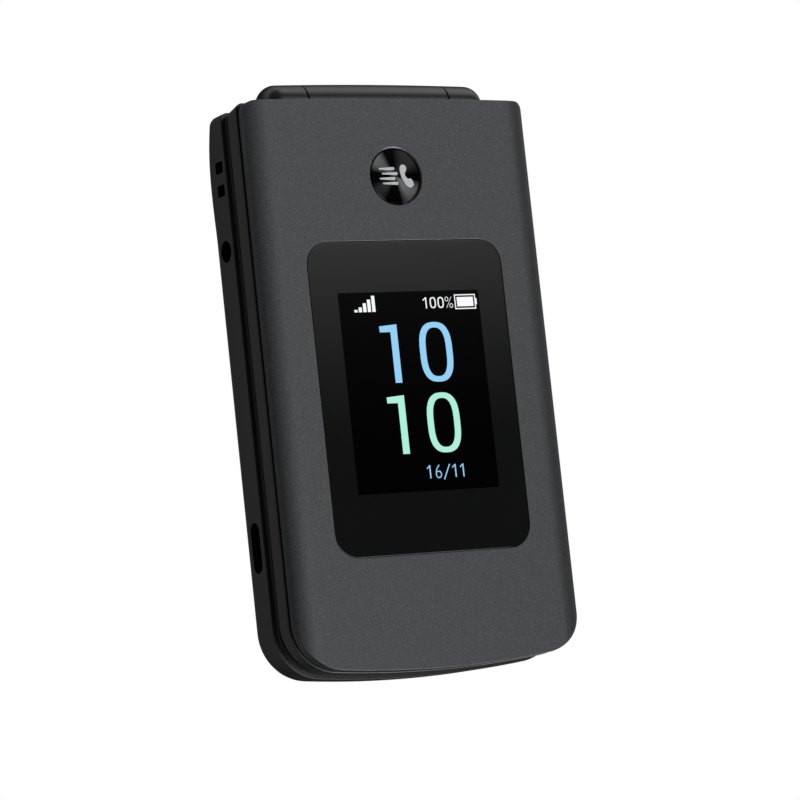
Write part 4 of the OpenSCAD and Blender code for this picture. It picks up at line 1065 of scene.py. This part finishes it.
def cutRear(shell):
    r, y, below = rear, rear["cameraY"], -1
    cut(shell, prism("doorSeat", doorRing(-r["doorGap"]), (below, r["doorSeatZ"])),
        plate("bay", [bar(*r["bay"])], below, r["bayZ"]),
        plate("pocket", [bar(*r["pocket"])], *r["pocketZ"]))
    for x, radius in ((0, r["cameraR"]), (r["flashX"], r["flashR"])):
        inner, floorZ = radius - r["windowLedge"], r["throughZ"]
        seat = [(0, below)] + [(radius + out, z) for out, z in r["windowEdge"]]
        seat += [(radius, r["seatZ"]), (inner, r["seatZ"]), (inner, floorZ), (0, floorZ)]
        cut(shell, lathed("seat", seat, (x, y, 0)))
    for i in range(-2, 3):
        centre = (r["speakerX"], y + i * r["speakerPitch"])
        levels = [atHeight(roundedRing(r["slot"], centre, grow), z) for grow, z in r["slotLevels"]]
        cut(shell, lofted("slot", levels))
    for x, y in r["screws"]:
        cut(shell, drum("well", r["screwR"], below, rearRise(y) + r["wellDepth"], (x, y, 0), count=48))
    cut(shell, scoop())


def knuckleProfile(side, cap=3.2):
    # end knuckle of the crowned barrel: flat at the seam, round at its outer end
    seam, end, edge = phone["seam"] + phone["seamGap"] / 2, phone["barrelHalf"], frameSizes["knuckleEdge"]
    profile = [(0, seam), (barrelRadius(seam) - edge, seam)]
    profile += [(barrelRadius(x), x) for x in steps(seam + edge, end - cap, 4)]
    for a in steps(0, square, 14)[1:]:
        x = end - cap + cap * math.sin(a)
        profile.append((barrelRadius(x) - cap * (1 - math.cos(a)), x))
    return [(r, side * x) for r, x in profile + [(0, end)]]


def makeBaseShell():
    s = baseSizes
    end, top, lip, height = phone["baseEnd"], s["hingeEndY"], s["lip"], s["topZ"]
    rings = [rearRing(a) for a in steps(0, 90, 10)]
    rings += [atHeight(planRing(inset, end, top), z)
              for inset, z in ((0, height - lip), (lip * 0.3, height - lip * 0.3), (lip, height))]
    inside = planRing(s["wall"], end, s["cavityTopY"] + s["wall"])
    rings += [atHeight(inside, height), [(x, y, max(s["floorZ"], rearRise(y) + 1.0)) for x, y in inside]]
    shell = lined(lofted("baseShell", rings), "shell")
    for side in (-1, 1):
        joined(shell, lathed("knuckle", knuckleProfile(side), hinge, "X", 128), "UNION")
    seam = phone["seam"] + phone["seamGap"] / 2
    cut(shell, drum("room", phone["barrelR"] + phone["barrelGap"], -seam, seam, hinge, "X", 128))
    cutPorts(shell)
    cutRear(shell)
    return fitted(evened(shell), "shell", "base", "shell", "rear_housing")


def makeDoor():
    levels = ((0.12, 0), (0.03, 0.03), (0, 0.12), (0, 1.2))
    door = lofted("batteryDoor", [atHeight(doorRing(inset), z) for inset, z in levels])
    cut(door, scoop())
    fitted(evened(door), "shell", "base", "shell", "battery_cover")


makeBaseShell()
makeDoor()
print("base shell made")


# camera, flash and loudspeaker in the rear face

cameraSizes = {
    "radius": 4.4,
    "bezel": 0.7,
    "aperture": 1.9,
    "glassZ": 0.06,
    "backZ": 0.75,
    "lensR": 1.35,
    "flash": ((0, 0.1), (0.5, 0.09), (1.0, 0.05), (1.45, 0.03), (1.6, 0.12), (1.6, 0.75), (0, 0.75)),
    "cloth": (11.6, 9.6, 1),
    "clothZ": (1.02, 1.3),
}


def makeCamera():
    s = cameraSizes
    centre = (0, rear["cameraY"], 0)
    r, z, inner, back = s["radius"], s["glassZ"], s["radius"] - s["bezel"], s["backZ"]
    hole, lens = s["aperture"], s["lensR"]
    bezel = [(r, 0.1), (r - 0.1, 0), (inner + 0.12, 0), (inner, z + 0.02), (inner, back), (r, back)]
    bezel = lathed("cameraBezel", bezel, centre, closed=True)
    fitted(smoothed(bezel), "ring", "base", "window")
    glass = [(inner, back), (inner, z), (hole + 0.12, z), (hole, z + 0.1), (lens + 0.15, 0.5),
             (lens + 0.15, back)]
    glass = lathed("cameraGlass", glass, centre, closed=True)
    fitted(smoothed(glass), "glass", "base", "window", "camera_window")
    dome = [(lens * math.sin(a), back - 0.35 * math.cos(a)) for a in steps(0, square, 8)]
    dome = lathed("cameraLens", dome + [(lens, 0.85), (0, 0.85)], centre, count=64)
    fitted(smoothed(dome), "lens", "base", "window")
    flash = lathed("flashWindow", s["flash"], (rear["flashX"], rear["cameraY"], 0), count=64)
    fitted(smoothed(flash), "flash", "base", "flash", "flash_window")
    cloth = prism("speakerCloth", roundedRing(s["cloth"], (rear["speakerX"], rear["cameraY"])), s["clothZ"])
    fitted(smoothed(cloth), "cloth", "base", "mesh")


makeCamera()
print("camera, flash and loudspeaker cloth made")


# keypad

keypad = {
    "markZ": (9.63, 9.675),
    "columns": (-16.9, 0.0, 16.9),
    "rows": (1.75, -10.85, -23.45, -36.05),
    "figureHeight": 4.6,
    "edge": 0.28,
    "navY": 28.05,
    "ringMark": 7.95,
    "sideX": 17.4,
    "softY": 33.6,
    "callY": 14.9,
    "clearY": 12.3,
    "arrow": ((-2.6, 0), (-1.2, 1.15), (-1.2, 0.4), (2.4, 0.4), (2.4, -0.4), (-1.2, -0.4), (-1.2, -1.15)),
    "tip": ((-0.55, -1.0), (0.65, 0), (-0.55, 1.0)),
}
numberKeys = ["key_" + sign for sign in (*"123456789", "star", "0", "hash")]
otherKeys = ["soft_key_left", "soft_key_right", "call_key", "clear_key", "end_key"]


def pieceName(node):
    first, *rest = node.split("_")
    return first + "".join(word.capitalize() for word in rest)


def handsetOutline(x, y, length, turn):
    # a telephone handset seen from the side: a bowed grip with a bulb at each end
    outer, inner = [], []
    for t in steps(-1, 1, 28):
        end = math.sqrt(max(1 - max(abs(t) - 0.8, 0) ** 2 / 0.04, 0))
        sag = -0.21 * (1 - t * t) * length
        outer.append((t * 0.62 * length, sag - 0.13 * length * end))
        inner.append((t * 0.62 * length, sag + (0.06 + 0.16 * smooth(abs(t), 0.4, 0.62)) * length * end))
    c, n = math.cos(math.radians(turn)), math.sin(math.radians(turn))
    return [(x + u * c - v * n, y + u * n + v * c) for u, v in outer + inner[-2:0:-1]]


def makeKeyMarks():
    k = keypad
    for i, node in enumerate(numberKeys):
        x, y = k["columns"][i % 3], k["rows"][i // 3]
        sign = {"key_star": "*", "key_hash": "#"}.get(node, node[-1])
        half = k["figureHeight"] / (3 if sign == "*" else 2)
        place = (x - 3, y - half, x + 3, y + half)
        mark = glyphs(pieceName(node) + "Mark", sign, place, k["markZ"], keepWidth=True)
        fitted(mark, "print", node + "_cap", "key")

    def printed(name, outlines, finish, body, slot="key"):
        marked(name, outlines, k["markZ"], finish, body, slot)

    for side, name in ((-1, "left"), (1, "right")):
        dash = roundBar(side * k["sideX"] - 2.2, k["softY"], 4.4, (0.7, 0.7))
        printed("softMark" + name.capitalize(), [dash], "print", "soft_key_" + name + "_cap")
    printed("callMark", [handsetOutline(-k["sideX"], k["callY"] + 0.7, 4.6, -45)], "green", "call_key_cap")
    printed("endMark", [handsetOutline(k["sideX"], k["callY"] - 0.4, 4.6, 180)], "red", "end_key_cap")
    printed("clearMark", [[(x, y + k["clearY"]) for x, y in k["arrow"]]], "print", "clear_key_cap")
    far, y = k["ringMark"], k["navY"]
    tips = [[(c * (far + u) - n * v, y + n * (far + u) + c * v) for u, v in k["tip"]]
            for c, n in ((1, 0), (0, 1), (-1, 0), (0, -1))]
    printed("ringMarks", tips, "print", "nav_ring_cap", "ring")


for node in numberKeys + otherKeys + ["nav_ring", "ok_key"]:
    finish = "ring" if node in ("nav_ring", "ok_key") else "key"
    dressed(node, pieceName(node) + "Cap", finish, node + "_cap", finish, keypad["edge"], 4, 40)
makeKeyMarks()
dressed("front_housing", "keypadPanel", "band", "base", "band", 0.12)
print("keypad made")

dressed("volume_key", "volumeRocker", "shell", "volume", "shell", 0.16, 3)
dressed("usb_socket", "usbShell", "screw", "base", "steel", 0.05)
dressed("audio_jack", "headsetSocket", "module", "base", "module", 0.08)
print("side key and sockets made")


# what repeats: screws, perforations and contacts, made with geometry nodes

def newTree(name, lengths, counts=()):
    # empty tree with named inputs; returns the tree, its input sockets and the inputs' identifiers
    tree = bpy.data.node_groups.new(name, "GeometryNodeTree")

    def socket(label, kind, way="INPUT"):
        return tree.interface.new_socket(name=label, in_out=way, socket_type="NodeSocket" + kind).identifier

    socket("Geometry", "Geometry")
    socket("Geometry", "Geometry", "OUTPUT")
    names = {label: socket(label, "Float") for label in lengths}
    names |= {label: socket(label, "Int") for label in counts}
    names["Material"] = socket("Material", "Material")
    return tree, tree.nodes.new("NodeGroupInput").outputs, names


def vector(tree, **parts):
    return shading(tree, "CombineXYZ", parts).outputs[0]


def shifted(tree, geometry, **parts):
    return forming(tree, "Transform", {"Geometry": geometry, "Translation": vector(tree, **parts)}).outputs[0]


def cylinder(tree, count, radius, depth):
    inputs = {"Vertices": count, "Radius": radius, "Depth": depth}
    return forming(tree, "MeshCylinder", inputs).outputs["Mesh"]


def block(tree, x, y, z):
    return forming(tree, "MeshCube", {"Size": vector(tree, X=x, Y=y, Z=z)}).outputs["Mesh"]


def carved(tree, solid, tool):
    settings = {"operation": "DIFFERENCE", "solver": "EXACT"}
    return forming(tree, "MeshBoolean", {0: solid, 1: tool}, **settings).outputs[0]


def gathered(tree, *parts):
    whole = forming(tree, "JoinGeometry")
    for part in parts:
        tree.links.new(part, whole.inputs[0])
    return whole.outputs[0]


def scattered(tree, points, instance):
    spread = forming(tree, "InstanceOnPoints", {"Points": points, "Instance": instance})
    return forming(tree, "RealizeInstances", {"Geometry": spread.outputs[0]}).outputs[0]


def finishTree(tree, size, instance):
    # one instance on every point of the mesh, in its material
    real = scattered(tree, size["Geometry"], instance)
    painted = forming(tree, "SetMaterial", {"Geometry": real, "Material": size["Material"]})
    tree.links.new(painted.outputs[0], tree.nodes.new("NodeGroupOutput").inputs[0])


def grown(name, made, values, finish, points):
    # runs a tree on a mesh of points, with lengths in millimetres, and returns a plain mesh piece
    tree, names = made
    mesh = bpy.data.meshes.new(name)
    mesh.from_pydata([Vector(p) * mm for p in points], [], [])
    piece = linked(name, mesh)
    modifier = piece.modifiers.new(name, "NODES")
    modifier.node_group = tree
    for label, value in values.items():
        modifier[names[label]] = value * mm if isinstance(value, float) else value
    modifier[names["Material"]] = finishes[finish]
    return baked(piece)


def screwTree():
    # machine screw with a cross recess, head down
    lengths = ("Head Radius", "Head Height", "Shank Radius", "Shank Length", "Recess Length", "Recess Width",
               "Recess Depth")
    tree, size, names = newTree("crossHeadScrew", lengths)
    height, length = size["Head Height"], size["Shank Length"]
    head = cylinder(tree, 32, size["Head Radius"], height)
    head = shifted(tree, head, Z=worked(tree, "MULTIPLY", height, 0.5))
    deep = worked(tree, "MULTIPLY", size["Recess Depth"], 2.0)
    for long, wide in (("Recess Length", "Recess Width"), ("Recess Width", "Recess Length")):
        head = carved(tree, head, block(tree, size[long], size[wide], deep))
    rise = worked(tree, "ADD", worked(tree, "MULTIPLY", length, 0.5), height)
    shank = shifted(tree, cylinder(tree, 24, size["Shank Radius"], length), Z=rise)
    finishTree(tree, size, gathered(tree, head, shank))
    return tree, names


def contactTree():
    # a row of flat contacts on both faces of a tongue
    tree, size, names = newTree("contactRow", ("Pitch", "Length", "Width", "Thickness", "Spread"), ("Count",))
    line = forming(tree, "MeshLine", {"Count": size["Count"], "Offset": vector(tree, Y=size["Pitch"])})
    row = scattered(tree, line.outputs[0], block(tree, size["Length"], size["Width"], size["Thickness"]))
    faces = [shifted(tree, row, Z=worked(tree, "MULTIPLY", size["Spread"], share)) for share in (-0.5, 0.5)]
    finishTree(tree, size, gathered(tree, *faces))
    return tree, names


def perforationTree():
    # thin plate with round ends and rows of round holes
    tree, size, names = newTree("perforatedStrip", ("Length", "Width", "Thickness", "Pitch", "Hole Radius"),
                                ("Columns", "Rows"))
    width, thick, pitch = size["Width"], size["Thickness"], size["Pitch"]
    long = worked(tree, "SUBTRACT", size["Length"], width)
    radius = worked(tree, "MULTIPLY", width, 0.5)
    solid = block(tree, long, width, thick)
    for share in (-0.5, 0.5):
        end = shifted(tree, cylinder(tree, 32, radius, thick), X=worked(tree, "MULTIPLY", long, share))
        union = forming(tree, "MeshBoolean", {1: solid}, operation="UNION", solver="EXACT")
        tree.links.new(end, union.inputs[1])
        solid = union.outputs[0]
    columns, rows = size["Columns"], size["Rows"]
    across, down = (worked(tree, "MULTIPLY", worked(tree, "SUBTRACT", count, 1.0), pitch)
                    for count in (columns, rows))
    inputs = {"Size X": across, "Size Y": down, "Vertices X": columns, "Vertices Y": rows}
    grid = forming(tree, "MeshGrid", inputs)
    drill = cylinder(tree, 10, size["Hole Radius"], worked(tree, "MULTIPLY", thick, 3.0))
    finishTree(tree, size, carved(tree, solid, scattered(tree, grid.outputs["Mesh"], drill)))
    return tree, names


screws = {
    "sizes": {"Head Radius": 1.2, "Head Height": 0.75, "Shank Radius": 0.7, "Recess Length": 1.3,
              "Recess Width": 0.32, "Recess Depth": 0.4},
    "lidZ": 10.73,
    "lid": ((23.2, -46.0), (24.9, 40.45)),
    "lidLength": 3.1,
    "base": ((21.4, 41.45, rearRise(41.45) + 0.53), (20.9, -46.55, 1.28)),
    "baseLength": 5.0,
}


def makeScrews():
    made = screwTree()
    lidPlaces = [(side * x, y, screws["lidZ"]) for side in (-1, 1) for x, y in screws["lid"]]
    basePlaces = [(side * x, y, z) for x, y, z in screws["base"] for side in (-1, 1)]
    for body, places in (("lid", lidPlaces), ("base", basePlaces)):
        values = screws["sizes"] | {"Shank Length": screws[body + "Length"]}
        piece = grown(body + "Screws", made, values, "screw", places)
        fitted(smoothed(piece, 40), "screw", body, "screw", body + "_screws")


usbContacts = {"Count": 12, "Pitch": 0.5, "Length": 2.6, "Width": 0.26, "Thickness": 0.05, "Spread": 0.74}
usbStart = (-26.1, -31.55, 5.75)
earpieceStrip = {"Length": 9.0, "Width": 1.6, "Thickness": 0.25, "Columns": 19, "Rows": 3, "Pitch": 0.43,
                 "Hole Radius": 0.13}
earpiecePlace = (0, -47.3, 10.53)

makeScrews()
fitted(grown("usbContacts", contactTree(), usbContacts, "gold", [usbStart]), "gold", "base", "contact")
strip = grown("earpieceStrip", perforationTree(), earpieceStrip, "steel", [earpiecePlace])
fitted(smoothed(strip, 40), "steel", "lid", "mesh", "earpiece_mesh")
print("screws, contacts and perforations made")


# pieces inside the housings, carried over as they are

carried = {
    "display": ("outer_display", "main_display"),
    "steel": ("quick_key_switch", "hinge_cam", "hinge_pivot", "hinge_cartridge", "dome_sheet", "lid_magnet",
              "shield_cans", "vibration_motor", "microphone", "sim_holder"),
    "board": ("lid_board", "main_board"),
    "module": ("earpiece", "volume_switches", "camera_module", "loudspeaker"),
    "film": ("hinge_flex",),
    "battery": ("battery",),
    "gold": ("battery_contacts",),
    "rubber": ("keypad_mat",),
}
nodeFinishes = {node: finishes[finish] for finish, nodes in carried.items() for node in nodes}
# nodes that a piece stands for get the same finish
for piece in list(bpy.context.scene.objects):
    nodeFinishes |= {node: piece.data.materials[0] for node in piece.get("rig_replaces", [])}
for node, material in nodeFinishes.items():
    data = frame["nodes"][node].data
    data.materials.clear()
    data.materials.append(material)
print("inner pieces finished")


# stage, light and camera

# light that the floor gives back: little under the phone, more at its two sides and beyond its hinge
floorSizes = {
    "half": 3.0,
    "z": -0.0001,
    "base": 0.02,
    "under": 0.5,
    "glow": (("X", -0.024, -0.034, 0.15), ("X", 0.034, 0.09, 0.25), ("Y", 0.06, 0.10, 0.95)),
    "footprint": (("X", -0.027, -0.024), ("X", 0.027, 0.024), ("Y", -0.049, -0.046), ("Y", 0.046, 0.043)),
}


def addedUp(tree, parts):
    total = parts[0]
    for part in parts[1:]:
        total = worked(tree, "ADD", total, part)
    return total


def picked(tree, factor, first, second):
    return shading(tree, "MixShader", {0: factor, 1: first.outputs[0], 2: second.outputs[0]})


def makeFloor():
    # white to the camera, dim to everything else, and not seen from below
    s = floorSizes
    bm = bmesh.new()
    half = s["half"]
    bm.faces.new([bm.verts.new(p) for p in atHeight(bar(-half, -half, half, half), s["z"])])
    floor = newPiece("floor", bm)
    if floor.data.polygons[0].normal.z < 0:
        floor.data.flip_normals()
    material = bpy.data.materials.new("paleFloor")
    material.use_nodes = True
    tree = material.node_tree
    tree.nodes.clear()
    along = shading(tree, "SeparateXYZ", {"Vector": ownPlace(tree)}).outputs
    glows = [ranged(tree, along[axis], start, full, 0.0, strength, "SMOOTHSTEP")
             for axis, start, full, strength in s["glow"]]
    under = s["under"]
    for axis, start, full in s["footprint"]:
        under = worked(tree, "MULTIPLY", ranged(tree, along[axis], start, full, 0.0, 1.0), under)
    dim = shading(tree, "Emission", {"Strength": addedUp(tree, glows + [under, s["base"]])})
    toCamera = shading(tree, "LightPath").outputs["Is Camera Ray"]
    below = shading(tree, "NewGeometry").outputs["Backfacing"]
    seen = picked(tree, toCamera, dim, shading(tree, "Emission"))
    side = picked(tree, below, seen, shading(tree, "BsdfTransparent"))
    shading(tree, "OutputMaterial", {"Surface": side.outputs[0]})
    floor.data.materials.append(material)


# soft boxes round the phone: direction, where their glow starts and is full (cosines), and strength
softBoxes = (
    ((0.46, 0.42, 0.783), 0.942, 0.99, 1.75),
    ((0.22, -0.47, 0.855), 0.905, 0.975, 3.7),
    ((0.50, -0.82, 0.18), 0.89, 0.97, 6.0),
    ((0.50, 0.86, 0.00), 0.90, 0.985, 1.5),
    ((-0.35, 0.00, 0.94), 0.65, 0.98, 0.16),
)
ambient = 0.07


def makeLight():
    world = bpy.data.worlds.new("studio")
    bpy.context.scene.world = world
    world.use_nodes = True
    tree = world.node_tree
    tree.nodes.clear()
    place = shading(tree, "TexCoord").outputs["Generated"]
    glows = []
    for direction, start, full, strength in softBoxes:
        inputs = {0: place, 1: Vector(direction).normalized()}
        toward = shading(tree, "VectorMath", inputs, operation="DOT_PRODUCT").outputs["Value"]
        glows.append(ranged(tree, toward, start, full, 0.0, strength, "SMOOTHSTEP"))
    white = {"Color": (1, 1, 1, 1)}
    studio = shading(tree, "Background", white | {"Strength": addedUp(tree, glows + [ambient])})
    path = shading(tree, "LightPath").outputs["Is Camera Ray"]
    pick = picked(tree, path, studio, shading(tree, "Background", white))
    shading(tree, "OutputWorld", {"Surface": pick.outputs[0]})


cameraPlace = {
    "location": (-313.096, -71.882, 552.021),
    "turn": (9.6243, -29.2007, -6.9605),
    "lens": 156.937,
    "sensor": 36.0,
}


def makeCameraView():
    data = bpy.data.cameras.new("view")
    data.lens = cameraPlace["lens"]
    data.sensor_width = cameraPlace["sensor"]
    data.sensor_fit = "HORIZONTAL"
    data.clip_start = 0.01
    data.clip_end = 20.0
    camera = linked("view", data)
    camera.location = Vector(cameraPlace["location"]) * mm
    camera.rotation_euler = [math.radians(a) for a in cameraPlace["turn"]]
    bpy.context.scene.camera = camera


makeFloor()
makeLight()
makeCameraView()
bpy.context.scene.view_settings.view_transform = "Standard"
print("stage, light and camera set")
